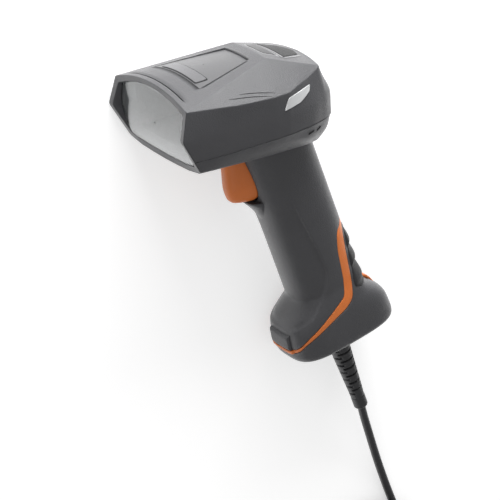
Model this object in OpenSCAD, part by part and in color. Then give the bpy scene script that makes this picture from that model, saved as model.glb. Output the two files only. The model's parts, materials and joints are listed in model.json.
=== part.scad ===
// Hand-held industrial barcode scanner with a corded grip.
// The pieces are drawn upright: x to the scanner's left, y from the reading end
// to the back, z up from the front of the foot. lay() then puts the scanner on
// its right side, as it comes to rest on a table.

/* [Head] */
// Width of the head across its waist
head_w = 76; // [72:1:80]
// Length of the head from the beak of the reading end to the back
head_l = 110; // [106:1:114]
// Height of the roof's highest point above the foot
roof_z = 194; // [192:0.5:197]
// Height of the waist edge along the sides
waist_z = 178; // [177:0.5:179]
// Height of the joint between top cover and chin shell
seam_z = 155.5; // [153:0.5:157]
// Height of the head's lower edge
chin_z = 143; // [142:0.5:144]
// Wall of every moulded shell
wall = 2.2; // [1.8:0.1:2.6]
// Rounding of the head's outer edges
edge_r = 1.2; // [0.8:0.1:1.6]
// Depth of the front bezel
bezel_d = 4.5; // [4:0.25:5.5]
// Width of the bezel's front face
bezel_face = 3.4; // [3.2:0.1:3.6]
// Thickness of the exit window
window_t = 1.6; // [1.2:0.1:2]
// Clearance between two fixed pieces
fit = 0.15; // [0.1:0.05:0.25]

/* [Grip] */
// Slope of the grip's axis away from the vertical
rake = 21; // [19:0.5:23]
// Length of the grip's axis from the head to the sole
handle_l = 131.5; // [128:0.5:136]
// Depth of the grip from front to back
grip_d = 45; // [43:0.5:47]
// Width of the grip
grip_w = 35; // [33:0.5:37]
// Width of the foot
foot_w = 42; // [40:0.5:45]
// Reach of the foot in front of the grip's axis
foot_front = 36.8; // [36:0.2:38]
// Reach of the heel behind the grip's axis
foot_back = 33.3; // [32.5:0.2:35]
// Rise of the scallops on the rear grip
scallop_h = 1.8; // [1.2:0.1:2.2]
// Distance between two scallops
scallop_pitch = 12; // [11.5:0.25:12.5]
// Radius of the hole under the lanyard bar
lanyard_r = 4; // [3.8:0.1:4.4]
// Thickness of the lanyard bar
lanyard_t = 2.4; // [2:0.1:2.8]

/* [Trigger] */
// Width of the trigger
trigger_w = 20.4; // [19:0.2:21]
// Radius of the trigger's pivot pin
pin_r = 1.25; // [1:0.05:1.5]
// Running clearance between the pin and the trigger
pin_fit = 0.05; // [0.03:0.01:0.08]
// Free space around the trigger
trigger_gap = 0.6; // [0.5:0.05:0.8]

/* [Cord] */
// Diameter of the cord
cord_d = 5; // [4.8:0.1:5.2]
// Length of the strain relief outside the sole
relief_l = 57; // [50:1:60]
// Diameter of the strain relief at the sole
relief_d = 13.6; // [12:0.2:14]
// Diameter of the strain relief's collar
relief_end_d = 8.6; // [8:0.1:9.5]

/* [Hidden] */

half_w = head_w / 2;
rear_y = head_l;
inside = wall + fit;

// Value of a list of [place, value] knots at t, as a smooth curve through them
function knot(k, t, i = 0) = i >= len(k) - 2 || t < k[i + 1][0] ? i : knot(k, t, i + 1);
function rise(k, i) =
    let (a = max(i - 1, 0), b = min(i + 1, len(k) - 1))
    (k[b][1] - k[a][1]) / (k[b][0] - k[a][0]);
function curve(k, t) =
    let (
        i = knot(k, t),
        h = k[i + 1][0] - k[i][0],
        s = min(max((t - k[i][0]) / h, 0), 1),
        m = rise(k, i) * h,
        n = rise(k, i + 1) * h
    )
    (2 * s ^ 3 - 3 * s ^ 2 + 1) * k[i][1] + (s ^ 3 - 2 * s ^ 2 + s) * m
    + (3 * s ^ 2 - 2 * s ^ 3) * k[i + 1][1] + (s ^ 3 - s ^ 2) * n;
function mirrored(list) = concat(list, [for (p = list) [-p[0], p[1], p[2]]]);
function power(value, n) = sign(value) * pow(abs(value), n);

// Closed skin through rings of equally many points, capped at both ends
module skin(rings) {
    n = len(rings[0]);
    last = len(rings) - 1;
    polyhedron(
        points = [for (ring = rings) each ring],
        faces = concat(
            [[for (j = [0 : n - 1]) j]],
            [[for (j = [n - 1 : -1 : 0]) last * n + j]],
            [for (i = [0 : last - 1], j = [0 : n - 1])
                [i * n + (j + 1) % n, i * n + j, (i + 1) * n + j]],
            [for (i = [0 : last - 1], j = [0 : n - 1])
                [i * n + (j + 1) % n, (i + 1) * n + j, (i + 1) * n + (j + 1) % n]]
        ));
}
// Body between neighbouring rings, each pair blended by its own hull
module loft(rings) {
    for (i = [0 : len(rings) - 2])
        hull() points_body(concat(rings[i], rings[i + 1]));
}
module points_body(points) {
    polyhedron(points = points, faces = [for (i = [0 : len(points) - 3]) [i, i + 1, i + 2]]);
}
// Prism across the scanner with its outline given as [y, z] points
module across(outline, width) {
    rotate([90, 0, 90]) linear_extrude(height = width, center = true) polygon(outline);
}
// Box by its lowest and highest corners
module block(low, high) {
    translate(low) cube(high - low);
}
// Box with rounded edges
module soft_block(low, high, r) {
    hull() for (x = [low[0] + r, high[0] - r], y = [low[1] + r, high[1] - r], z = [low[2] + r, high[2] - r])
        translate([x, y, z]) sphere(r = r, $fn = 16);
}
// Cylinder between two points
module rod(a, b, r, facets = 48) {
    d = b - a;
    translate(a) rotate([0, acos(d[2] / norm(d)), atan2(d[1], d[0])])
        cylinder(h = norm(d), r = r, $fn = facets);
}

// Front rim seen from the side, as [half width, y, z]: roof corner, beak and chin corner
rim_top = [half_w - 2, 3.4, waist_z + 1.8];
rim_beak = [half_w, 0, (waist_z + chin_z) / 2 + 3.5];
rim_chin = [half_w - 2, 12.2, chin_z + 0.8];
rim_crown = 6.6;
rim_bow = 1.6;
ridge_w = 16.5;
ridge_y = 65.7;
ridge_drop = 1.1;
crest = [24, rear_y - 13.5, roof_z - 9];
horn_mid_z = 169;

// Corner points of one half of the head, front to back
head_points = concat(
    [for (k = [0 : 0.25 : 1]) [rim_top[0] * k, rim_top[1], rim_top[2] + rim_crown * (1 - k * k)]],
    [rim_beak, rim_chin],
    [[half_w - 14, rim_chin[1], chin_z - rim_bow * 0.6], [0, rim_chin[1], chin_z - rim_bow]],
    [for (k = [0 : 0.5 : 1]) [ridge_w * k, ridge_y, roof_z - ridge_drop * k * k]],
    [[half_w, 35.5, waist_z + 0.2], [half_w, 54.5, waist_z], [half_w - 2, 68.6, waist_z + 0.3],
        [half_w - 6, 78, waist_z + 2.2], [half_w - 10, 87.2, waist_z + 3.9]],
    [crest, [12, crest[1] + 1.2, crest[2] + 1.5], [0, crest[1] + 1.8, crest[2] + 2]],
    [[half_w + 0, 12, rim_beak[2]], [half_w, 60, rim_beak[2]], [half_w - 1.4, 74, rim_beak[2]],
        [half_w - 5, 88, rim_beak[2]], [half_w - 10, 99, rim_beak[2]]],
    [for (z = [seam_z + 1, rim_beak[2]]) each
        [[half_w - 15, rear_y - 4, z], [half_w - 19, rear_y - 2.2, z], [half_w - 27, rear_y - 0.6, z],
            [0, rear_y, z]]],
    [[half_w - 16, rear_y - 5.2, waist_z - 6.5], [0, rear_y - 1.2, waist_z - 5]],
    [[half_w - 0.6, 18, seam_z], [half_w - 0.4, 60, seam_z], [half_w - 1.8, 74, seam_z],
        [half_w - 5.4, 88, seam_z], [half_w - 10.4, 99, seam_z]],
    [[half_w - 1.8, 30, chin_z + 6], [half_w - 2.4, 56, chin_z + 5.5], [half_w - 4.6, 76, chin_z + 5],
        [half_w - 10, 91, chin_z + 4.5], [half_w - 18, rear_y - 5.8, chin_z + 5], [0, rear_y - 3, chin_z + 5]],
    [[half_w - 4, 30, chin_z + 0.2], [half_w - 6, 50, chin_z - 0.4], [half_w - 9, 70, chin_z - 1],
        [half_w - 14, 86, chin_z - 2], [half_w - 21, rear_y - 12, chin_z - 3.2], [0, rear_y - 10, chin_z - 3.6]],
    [[half_w - 16, 40, chin_z - 1.4], [half_w - 20, 70, chin_z - 2.6]]
);
// A head point moved inwards by d on every side
function moved_in(p, d) = [
    p[0] - (p[0] > d ? d : p[0]),
    p[1] + (p[1] < 20 ? d : p[1] > 68 ? -d : 0),
    p[2] + (p[2] > horn_mid_z ? -d : p[2] < seam_z - 1 ? d : 0)
];
module head_solid() {
    hull() for (p = mirrored([for (q = head_points) moved_in(q, edge_r)]))
        translate(p) sphere(r = edge_r, $fn = 10);
}
module head_inset(d) {
    hull() points_body(mirrored([for (q = head_points) moved_in(q, d)]));
}
// Everything in front of the rim's own line, set back by depth
module front_zone(depth, width = 120) {
    across([[-20, chin_z - 30], [-20, roof_z + 20], [rim_top[1] + depth, roof_z + 20],
        [rim_top[1] + depth, rim_top[2]], [rim_beak[1] + depth, rim_beak[2]],
        [rim_chin[1] + depth, rim_chin[2]], [rim_chin[1] + depth, chin_z - 30]], width);
}
// Outline of the reading opening as [x, z], set in from the rim
function opening(inset) = let (
        top = [for (k = [-1 : 0.125 : 1])
            [(rim_top[0] - inset) * k, rim_top[2] - inset * 0.9 + rim_crown * (1 - k * k)]],
        side = [[rim_beak[0] - inset, rim_beak[2]], [rim_chin[0] - inset, rim_chin[2] + inset]],
        low = [half_w - 14, chin_z - rim_bow * 0.6 + inset]
    )
    concat(top, side, [low, [0, chin_z - rim_bow + inset], [-low[0], low[1]]],
        [for (i = [1 : -1 : 0]) [-side[i][0], side[i][1]]]);
module opening_prism(inset, from_y, to_y) {
    translate([0, to_y, 0]) rotate([90, 0, 0])
        linear_extrude(height = to_y - from_y) polygon(opening(inset));
}
// Front of the exit window in side view: a bend between three set-backs
window_y = [7.4, 1.4, 13.4];
window_z = [rim_top[2] + rim_crown, chin_z];
function window_line(set_back) = [for (i = [0 : 10]) let (s = i / 10) [
    (1 - s) ^ 2 * window_y[0] + 2 * s * (1 - s) * window_y[1] + s ^ 2 * window_y[2] + set_back,
    window_z[0] + 2 - (window_z[0] - window_z[1] + 4) * s
]];
function reversed(list) = [for (i = [len(list) - 1 : -1 : 0]) list[i]];

// Grip: v runs across its axis from front to back, t down the axis
grip_root = [80.7, chin_z - 7];
foot_start = handle_l - 34;
foot_slope = 0.11;
heel_solid = 19.5;
function grip_point(x, v, t) = [x,
    grip_root[0] + t * sin(rake) + v * cos(rake), grip_root[1] - t * cos(rake) + v * sin(rake)];
function side_point(v, t) = let (p = grip_point(0, v, t)) [p[1], p[2]];
function foot_share(t) = min(max((t - foot_start) / 34, 0), 1);
// Front, back and half width of the grip and the foot along the axis
grip_knots = [
    [-20, [-grip_d / 2 - 0.6, grip_d / 2 - 0.4, grip_w / 2 - 0.4]],
    [20, [-grip_d / 2, grip_d / 2 - 0.2, grip_w / 2 - 0.2]],
    [60, [-grip_d / 2 + 0.1, grip_d / 2 - 0.1, grip_w / 2]],
    [foot_start, [-grip_d / 2 - 0.3, grip_d / 2, grip_w / 2 + 0.5]],
    [handle_l - 27, [-foot_front + 10.5, grip_d / 2 + 0.2, foot_w / 2 - 1.8]],
    [handle_l - 21, [-foot_front + 3.8, grip_d / 2 - 0.8, foot_w / 2 - 0.7]],
    [handle_l - 17, [-foot_front + 1.6, grip_d / 2 + 0.8, foot_w / 2 - 0.2]],
    [handle_l - 13, [-foot_front + 0.6, foot_back - 4.6, foot_w / 2]],
    [handle_l - 8, [-foot_front, foot_back - 0.6, foot_w / 2]],
    [handle_l - 4, [-foot_front + 0.3, foot_back, foot_w / 2 - 0.1]],
    [handle_l - 1.2, [-foot_front + 2.2, foot_back - 1.6, foot_w / 2 - 1.3]],
    [handle_l, [-foot_front + 5.4, foot_back - 4.6, foot_w / 2 - 4.3]]
];
grip_stops = concat([-18, -6, 8, 22, 40, 60, 80],
    [for (d = [34, 30, 27, 24, 21, 19, 17, 15, 13, 10.5, 8, 4, 2.4, 1.2, 0]) handle_l - d]);
inner_stops = concat([-20, 10, 40], [for (d = [34, 28, 24, 20, 16, 12, 8, 4]) handle_l - d]);
// Ring of points round the grip; inset moves it inwards, bulge moves its back outwards
function grip_ring(t, inset = 0, count = 28, bulge = 0) = let (
        k = curve(grip_knots, inset > 0.5 ? min(t, handle_l - 4) : t),
        front = k[0] + inset,
        back = inset > 1.5 ? min(k[1] - inset, heel_solid) : k[1] - inset + bulge,
        side = k[2] - inset + bulge * 0.15,
        n = 2.4 + 0.3 * foot_share(t)
    )
    [for (i = [0 : count - 1]) let (
            a = 360 * i / count,
            v = (front + back) / 2 - (back - front) / 2 * power(cos(a), 2 / n),
            drop = foot_slope * (v + foot_front) * foot_share(t)
        )
        grip_point(side * power(sin(a), 2 / n), v, t + drop)];
// Shelf under the trigger, carried by the front of the grip
lip_t = 21.5;
function lip_ring(t, front, w) = [for (a = [0 : 15 : 345])
    grip_point(w * power(sin(a), 0.8), (front - 12) / 2 - (-12 - front) / 2 * power(cos(a), 0.8), t)];
module grip_solid(inset = 0) {
    loft([for (t = grip_stops) grip_ring(t, inset)]);
    if (inset <= 0)
        loft([lip_ring(lip_t + 14, -grip_d / 2 + 1, trigger_w / 2 + 1.5),
            lip_ring(lip_t + 6, -grip_d / 2 - 2.6, trigger_w / 2 + 1.5),
            lip_ring(lip_t + 1.5, -grip_d / 2 - 5.8, trigger_w / 2 + 0.8),
            lip_ring(lip_t, -grip_d / 2 - 6.6, trigger_w / 2)]);
}
// Orange band in side view: its front edge, then its rear edge, from the nose up the back
function smooth(list, steps) = let (k = [for (i = [0 : len(list) - 1]) [i, list[i]]])
    [for (i = [0 : steps]) let (p = curve(k, i * (len(list) - 1) / steps)) side_point(p[0], p[1])];
band_front = smooth([[-46, handle_l - 12.6], [-37, handle_l - 13.8], [-31, handle_l - 15.8],
    [-19.5, handle_l - 22.1], [-11, handle_l - 24.6], [-4.7, handle_l - 26], [0.6, handle_l - 29.4],
    [3.1, handle_l - 34], [5, handle_l - 44], [6.8, handle_l - 53], [9.2, 68.5], [13.5, 63.8], [20.6, 58.8],
    [28, 56]], 42);
band_rear = smooth([[-46, handle_l - 10.6], [-37, handle_l - 11.4], [-31, handle_l - 13],
    [-17.5, handle_l - 17.4], [-7, handle_l - 20.4], [1.2, handle_l - 22.8], [5.8, handle_l - 27.3],
    [8.3, handle_l - 33], [9.6, handle_l - 43], [11.2, handle_l - 52], [13, 71.6], [15.4, 66.6], [20.8, 61.8],
    [28, 58.6]], 42);
module band_zone() {
    across(concat(band_front, reversed(band_rear)), 80);
}
module behind(line) {
    across(concat(line, [side_point(70, 50), side_point(70, handle_l + 40), side_point(-60, handle_l + 40),
        side_point(-60, handle_l - 11)]), 90);
}
// Zone of the rubber pad on the grip's back, in side view
pad_top = 63.4;
pad_low = pad_top + 3.5 * scallop_pitch + 0.4;
module pad_zone() {
    across(concat([for (k = [0 : 5]) let (q = band_rear[37 - k * 3]) [q[0] + 1.1, q[1] - 1.3]],
        [side_point(11, pad_low), side_point(40, pad_low), side_point(40, pad_top - 2)]), 80);
}
function scallop(t) = 0.5 + scallop_h * (0.5 + 0.5 * cos(360 * (t - pad_top - scallop_pitch) / scallop_pitch));
// Hole under the lanyard bar, in side view
lanyard_at = [23.4, handle_l - 18.1];
lanyard_w = 7;
function lanyard_arc(r, from, to) = [for (a = [from : 10 : to])
    side_point(max(lanyard_at[0] + r * cos(a), lanyard_at[0] - 2.4), lanyard_at[1] + r * sin(a))];
module lanyard_hole() {
    across(lanyard_arc(lanyard_r, -180, 170), 60);
}
module bar_body(width) {
    across(concat(lanyard_arc(lanyard_r + lanyard_t, -110, 80), reversed(lanyard_arc(lanyard_r, -110, 80))), width);
}
// Runs its children in the grip's own directions: x, v and minus t
module on_grip() {
    translate([0, grip_root[0], grip_root[1]]) rotate([rake, 0, 0]) children();
}

// Trigger: pivot as [y, z], opening in grip and chin, outline over the height
pivot = [58, chin_z + 2.8];
trigger_top = chin_z - 4.2;
trigger_low = chin_z - 37;
hub_r = 2.6;
bay_w = trigger_w + 2 * trigger_gap;
bay_v = -grip_d / 2 + 5.5;
bay_back = 63.1;
bay_bend = grip_root[1] + bay_v * sin(rake) - (bay_back - grip_root[0] - bay_v * cos(rake)) / tan(rake);
module trigger_bay() {
    across([[30, trigger_low - 0.9], [side_point(bay_v, 26)[0], trigger_low - 0.9],
        [bay_back, bay_bend], [bay_back, chin_z + 12], [46.4, chin_z + 12], [30, chin_z - 8]], bay_w);
}
// Front, back and half width of the trigger over its height above trigger_low
trigger_knots = [
    [0, [57.8, 60.6, trigger_w / 2 - 5]],
    [1.2, [54.6, 62.8, trigger_w / 2 - 2.2]],
    [4, [52.4, 64.6, trigger_w / 2 - 0.6]],
    [9, [51, 65.2, trigger_w / 2]],
    [18, [49.6, 62.6, trigger_w / 2]],
    [26, [48.4, 59.4, trigger_w / 2 - 0.3]],
    [trigger_top - trigger_low, [47.6, 57.6, trigger_w / 2 - 1]]
];
function trigger_ring(h) = let (k = curve(trigger_knots, h), w = k[2])
    concat(
        [for (a = [-90 : 15 : 90])
            [w * power(sin(a), 0.75), k[1] - 3 - (k[1] - 3 - k[0]) * power(cos(a), 0.75), trigger_low + h]],
        [[w, k[1], trigger_low + h], [-w, k[1], trigger_low + h]]);

// Strain relief and sole
relief_v = -3;
relief_t = handle_l + foot_slope * (relief_v + foot_front);
relief_end = grip_point(0, relief_v, relief_t + relief_l);

// Rest pose: the right side of head and foot lie on the table
foot_rest = grip_point(-foot_w / 2, -2, handle_l - 9);
head_rest = [-half_w + 0.5, 0, seam_z];
tilt = atan((foot_rest[0] - head_rest[0]) / (head_rest[2] - foot_rest[2]));
function turned(p) = [-p[2] * cos(tilt) + p[0] * sin(tilt), p[1], p[2] * sin(tilt) + p[0] * cos(tilt)];
outer_points = concat(mirrored(head_points), [for (t = grip_stops) each grip_ring(t)],
    [for (a = [0 : 15 : 345]) grip_point(cos(a) * relief_end_d / 2, relief_v + sin(a) * relief_end_d / 2,
        relief_t + relief_l)]);
laid = [for (p = outer_points) turned(p)];
lay_shift = [
    -(min([for (p = laid) p[0]]) + max([for (p = laid) p[0]])) / 2,
    -(min([for (p = laid) p[1]]) + max([for (p = laid) p[1]])) / 2,
    -min([for (p = laid) p[2]])
];
module lay() {
    translate(lay_shift) rotate([0, tilt - 90, 0]) children();
}
function lay_point(p) = turned(p) + lay_shift;

// Colours
body_grey = [0.27, 0.27, 0.28];
roof_grey = [0.34, 0.34, 0.35];
orange = [0.8, 0.4, 0.16];
rubber = [0.15, 0.15, 0.16];
light_grey = [0.7, 0.7, 0.7];
smoke = [0.12, 0.12, 0.13];
steel = [0.62, 0.63, 0.65];
board_green = [0.12, 0.34, 0.22];
metal_tin = [0.75, 0.76, 0.76];

// Joint between cover and chin in side view
seam_gap = 0.4;
seam_line = [[-20, seam_z - 5.5], [30, seam_z - 3.5], [62, seam_z - 1], [88, seam_z], [140, seam_z]];
module above_seam(d) {
    across(concat([for (p = seam_line) [p[0], p[1] + d]], [[140, 260], [-20, 260]]), 120);
}
module below_seam(d) {
    across(concat([for (p = seam_line) [p[0], p[1] + d]], [[140, 60], [-20, 60]]), 120);
}
// Layer of the head's skin between two depths, lowered a little more towards the back
module sunk_head(d, lean = 0) {
    translate([0, 20, 0]) rotate([-lean, 0, 0]) translate([0, -20, -d]) head_solid();
}

// Roof: inset panel, plate, lens and rear panel as outlines seen from above
panel_t = 0.9;
panel_lean = 1.1;
panel_shape = [[22.5, 20], [12, 58.5], [-12, 58.5], [-22.5, 20]];
plate_shape = [[16, 21.6], [16, 28.8], [-16, 28.8], [-16, 21.6]];
lens_shape = [[6, 72], [6, 80], [-6, 80], [-6, 72]];
rear_shape = [[11.5, 82], [9.5, 96.5], [-9.5, 96.5], [-11.5, 82]];
side_lens_shape = [[87.3, 177.1], [85.5, 174], [78.5, 172.6], [74.2, 169.5], [64.4, 169.1], [67.7, 175.5]];
module roof_prism(shape, grow = 0) {
    translate([0, 0, horn_mid_z]) linear_extrude(height = 40) offset(r = grow + 0.8, $fn = 24)
        offset(delta = -0.8) polygon(shape);
}
module side_prism(side, grow = 0) {
    translate([side * 34, 0, 0]) rotate([90, 0, 90])
        linear_extrude(height = 20, center = true) offset(delta = grow) polygon(side_lens_shape);
}
boss_at = [[half_w - 7.6, 26], [half_w - 14.5, 92]];
post_at = [[half_w - 17, 46], [half_w - 17.8, 81.6]];
module each_place(places) {
    for (p = places, side = [-1, 1])
        translate([side * p[0], p[1], 0]) children();
}

module head_cover() {
    color(body_grey) lay() difference() {
        union() {
            difference() {
                head_solid();
                difference() {
                    head_inset(wall);
                    difference() {
                        roof_prism(panel_shape, 1.2);
                        sunk_head(panel_t + 1.6, panel_lean);
                    }
                }
            }
            intersection() {
                head_inset(wall - 0.4);
                union() {
                    for (p = boss_at, side = [-1, 1]) hull() {
                        translate([side * p[0], p[1], seam_z - 6]) cylinder(h = 15, r = 3.4, $fn = 24);
                        translate([side * (p[0] + 7), p[1] + (p[1] > 60 ? 4 : 0), seam_z - 6])
                            cylinder(h = 22, r = 1, $fn = 12);
                    }
                    for (x = [-7.5, 7.5], y = [71, 83])
                        translate([x, y, status_z + 1.4]) cylinder(h = 12, r = 2, $fn = 20);
                }
            }
        }
        front_zone(bezel_d + fit);
        below_seam(seam_gap);
        difference() {
            roof_prism(panel_shape, fit);
            sunk_head(panel_t + fit, panel_lean);
        }
        difference() {
            roof_prism(lens_shape, fit);
            sunk_head(1.2 + fit);
        }
        difference() {
            roof_prism(rear_shape, fit);
            sunk_head(1 + fit);
        }
        for (side = [-1, 1]) difference() {
            side_prism(side, fit);
            head_inset(1.1 + fit);
        }
        each_place(boss_at) translate([0, 0, seam_z - 20]) cylinder(h = 32, r = 1.5 + fit, $fn = 20);
    }
}
module chin_shell() {
    color(body_grey) lay() difference() {
        union() {
            difference() {
                head_solid();
                head_inset(wall);
            }
            intersection() {
                head_inset(wall - 0.4);
                union() {
                    for (p = boss_at, side = [-1, 1]) hull() {
                        translate([side * p[0], p[1], chin_z - 4])
                            cylinder(h = seam_z - chin_z + 11.5, r = 3.8, $fn = 24);
                        translate([side * (p[0] + 6), p[1] + (p[1] > 60 ? 3 : 0), chin_z - 4])
                            cylinder(h = seam_z - chin_z + 7.5, r = 1, $fn = 12);
                    }
                    each_place(post_at) translate([0, 0, chin_z - 4])
                        cylinder(h = board_z - chin_z + 4, r = 2.8, $fn = 24);
                }
            }
        }
        front_zone(bezel_d + fit);
        above_seam(0);
        loft([for (t = [-22, -6, 8, 22]) grip_ring(t, -fit)]);
        trigger_bay();
        each_place(boss_at) {
            translate([0, 0, chin_z - 8]) cylinder(h = seam_z - chin_z + 17.5, r = 1.5 + fit, $fn = 20);
            translate([0, 0, chin_z - 8]) cylinder(h = 11, r = 3, $fn = 24);
        }
        each_place(post_at) translate([0, 0, board_z - 7]) cylinder(h = 10, r = 1.1, $fn = 16);
        for (side = [-1, 1], s = [[84.2, 88.8, 150.6], [90, 95.5, 151.6]])
            translate([side * 31, (s[0] + s[1]) / 2, s[2]]) rotate([2, 0, side * 25])
                cube([9, s[1] - s[0], 1.2], center = true);
    }
}
sleeve_d = bezel_d + 4;
module front_bezel() {
    color(body_grey) lay() difference() {
        union() {
            intersection() {
                head_solid();
                front_zone(bezel_d);
            }
            difference() {
                opening_prism(bezel_face - 0.8, -5, 40);
                across([[60, 230], [60, 110], [rim_chin[1] + sleeve_d, 110], [rim_chin[1] + sleeve_d, rim_chin[2]],
                    [rim_beak[1] + sleeve_d, rim_beak[2]], [rim_top[1] + sleeve_d, rim_top[2]],
                    [rim_top[1] + sleeve_d, 230]], 120);
                front_zone(bezel_d - 1);
            }
        }
        opening_prism(bezel_face, -20, 60);
    }
}
module exit_window() {
    color([0.75, 0.8, 0.82, 0.4]) lay() intersection() {
        across(concat(window_line(0), reversed(window_line(window_t))), 100);
        opening_prism(bezel_face + fit, -20, 60);
    }
}
function window_at(z, d) = let (s = (window_z[0] + 2 - z) / (window_z[0] - window_z[1] + 4))
    (1 - s) ^ 2 * window_y[0] + 2 * s * (1 - s) * window_y[1] + s ^ 2 * window_y[2] + d;
horn_frame = [[24.5, 12.6, 177.4], [26, 18, 150.4]];
horn_end = [[15, 58, horn_mid_z + 8], [15, 58, horn_mid_z - 8]];
horn_t = 1.2;
function horn_mouth(inset, d) = [for (p = opening(bezel_face + 0.6 + inset)) [p[0], window_at(p[1], window_t + d), p[1]]];
function grown(frame, g, d = 0) = mirrored([
    [frame[0][0] + g, frame[0][1] + d, frame[0][2] + g], [frame[1][0] + g, frame[1][1] + d, frame[1][2] - g]]);
module light_horn() {
    color(light_grey) lay() difference() {
        union() {
            hull() points_body(concat(horn_mouth(0, fit), grown(horn_frame, horn_t)));
            hull() points_body(concat(grown(horn_frame, horn_t), grown(horn_end, horn_t)));
        }
        hull() points_body(concat(horn_mouth(horn_t, -2), grown(horn_frame, 0)));
        hull() points_body(concat(grown(horn_frame, 0, -0.02), grown(horn_end, 0, 0.5)));
    }
}
module cover_seal() {
    color(rubber) lay() difference() {
        intersection() {
            head_inset(0.4);
            across(concat([for (p = seam_line) [p[0], p[1] + 0.02]],
                [for (p = reversed(seam_line)) [p[0], p[1] + seam_gap - 0.02]]), 120);
        }
        head_inset(wall);
        front_zone(bezel_d + 4 + fit);
    }
}
module top_panel() {
    color(roof_grey) lay() difference() {
        intersection() {
            roof_prism(panel_shape);
            sunk_head(0, panel_lean);
        }
        sunk_head(panel_t, panel_lean);
        difference() {
            roof_prism(plate_shape, fit);
            sunk_head(0.35 + fit, panel_lean);
        }
    }
}
module blank_plate() {
    color(light_grey) lay() intersection() {
        roof_prism(plate_shape);
        difference() {
            sunk_head(-0.35, panel_lean);
            sunk_head(0.35, panel_lean);
        }
    }
}
module status_lens() {
    color([0.8, 0.85, 0.85, 0.7]) lay() intersection() {
        roof_prism(lens_shape);
        difference() {
            sunk_head(-0.3);
            sunk_head(1.2);
        }
    }
}
module rear_panel() {
    color(rubber) lay() intersection() {
        roof_prism(rear_shape);
        difference() {
            sunk_head(-0.1);
            sunk_head(1);
        }
    }
}
module side_lens(side) {
    color([0.8, 0.85, 0.85, 0.7]) lay() intersection() {
        side_prism(side);
        difference() {
            head_solid();
            head_inset(1.1);
        }
    }
}
module side_lens_left() {
    side_lens(1);
}
module side_lens_right() {
    side_lens(-1);
}

// Grip
grip_top = chin_z + 0.6;
module grip_hollow() {
    loft([for (t = inner_stops) grip_ring(t, wall, 20)]);
}
module grip_skin() {
    difference() {
        grip_solid();
        grip_hollow();
    }
}
module on_foot(at, h, r, facets = 32) {
    translate(grip_point(at[0], at[1], at[2])) rotate([rake, 0, 0]) cylinder(h = h, r = r, $fn = facets);
}
sole_at = [[12, -24], [12, 17]];
module sole_holes(r, deep) {
    for (p = sole_at, side = [-1, 1])
        on_foot([side * p[0], p[1], handle_l + 10], 10 + deep - foot_slope * (p[1] + foot_front) + 2, r);
}
module bumper_zone(grow = 0) {
    on_grip() soft_block([-9 - grow, -foot_front - 4, -(handle_l - 14) - grow],
        [9 + grow, -foot_front + 5, -(handle_l - 20.5) + grow], 1.4);
}
module grip_shell() {
    color(body_grey) lay() difference() {
        grip_skin();
        behind(band_front);
        trigger_bay();
        translate([0, 0, grip_top]) block([-40, 0, 0], [40, 140, 40]);
        difference() {
            bumper_zone(fit);
            grip_solid(1 + fit);
        }
    }
}
module back_shell() {
    color(body_grey) lay() difference() {
        intersection() {
            grip_skin();
            behind(band_rear);
        }
        lanyard_hole();
        difference() {
            bar_body(lanyard_w + 2 * fit);
            on_grip() block([-10, 0, -handle_l], [10, lanyard_at[0] - 3.4, -60]);
        }
        difference() {
            pad_zone();
            grip_solid(1 + fit);
        }
        on_foot([0, relief_v, relief_t + 10], 16, relief_d / 2 + fit, 48);
        sole_holes(1.4, 8);
        sole_holes(2.7, 2.2);
    }
}
module orange_band() {
    color(orange) lay() intersection() {
        grip_skin();
        band_zone();
    }
}
module rear_grip() {
    color(rubber) lay() difference() {
        intersection() {
            loft([for (k = [-3 : 20]) let (t = pad_top + k * scallop_pitch / 6) grip_ring(t, 0, 24, scallop(t))]);
            pad_zone();
        }
        grip_solid(1);
    }
}
module nose_bumper() {
    color(rubber) lay() difference() {
        intersection() {
            bumper_zone();
            loft([for (d = [35, 27, 21, 18, 15, 11]) grip_ring(handle_l - d, -0.7)]);
        }
        grip_solid(1);
        behind(band_front);
    }
}
module lanyard_bar() {
    color(orange) lay() difference() {
        bar_body(lanyard_w);
        on_grip() block([-10, 0, -handle_l], [10, lanyard_at[0] - 3, -60]);
    }
}

// Trigger and what carries it
module trigger() {
    color(orange) lay() difference() {
        union() {
            hull() points_body([for (h = [0, 0.5, 1.2, 2.4, 4, 6.5, 9, 13, 18, 22, 26, trigger_top - trigger_low])
                each trigger_ring(h)]);
            across([[52.8, trigger_top - 6], [57, trigger_top - 6], [pivot[0] + hub_r, pivot[1]],
                [pivot[0] - hub_r, pivot[1]]], trigger_w - 3);
            rod([-trigger_w / 2 + 0.2, pivot[0], pivot[1]], [trigger_w / 2 - 0.2, pivot[0], pivot[1]], hub_r);
        }
        rod([-20, pivot[0], pivot[1]], [20, pivot[0], pivot[1]], pin_r + pin_fit);
        across([[52.4, trigger_top - 5], [50.9, trigger_low + 27], [52, trigger_low + 17], [54.4, trigger_low + 5],
            [90, trigger_low + 5], [90, trigger_top + 1], [54, trigger_top + 1]], trigger_w - 4.4);
        across([[40, trigger_top + 1.2], [80, trigger_top + 1.2], [80, 180], [40, 180]], 6.4);
    }
}
ear_in = trigger_w / 2 + 0.4;
ear_out = ear_in + 1.6;
board_z = chin_z + 7.4;
plate_w = 19;
module trigger_pin() {
    color(steel) lay()
        rod([-ear_out - 0.4, pivot[0], pivot[1]], [ear_out + 0.4, pivot[0], pivot[1]], pin_r);
}
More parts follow.
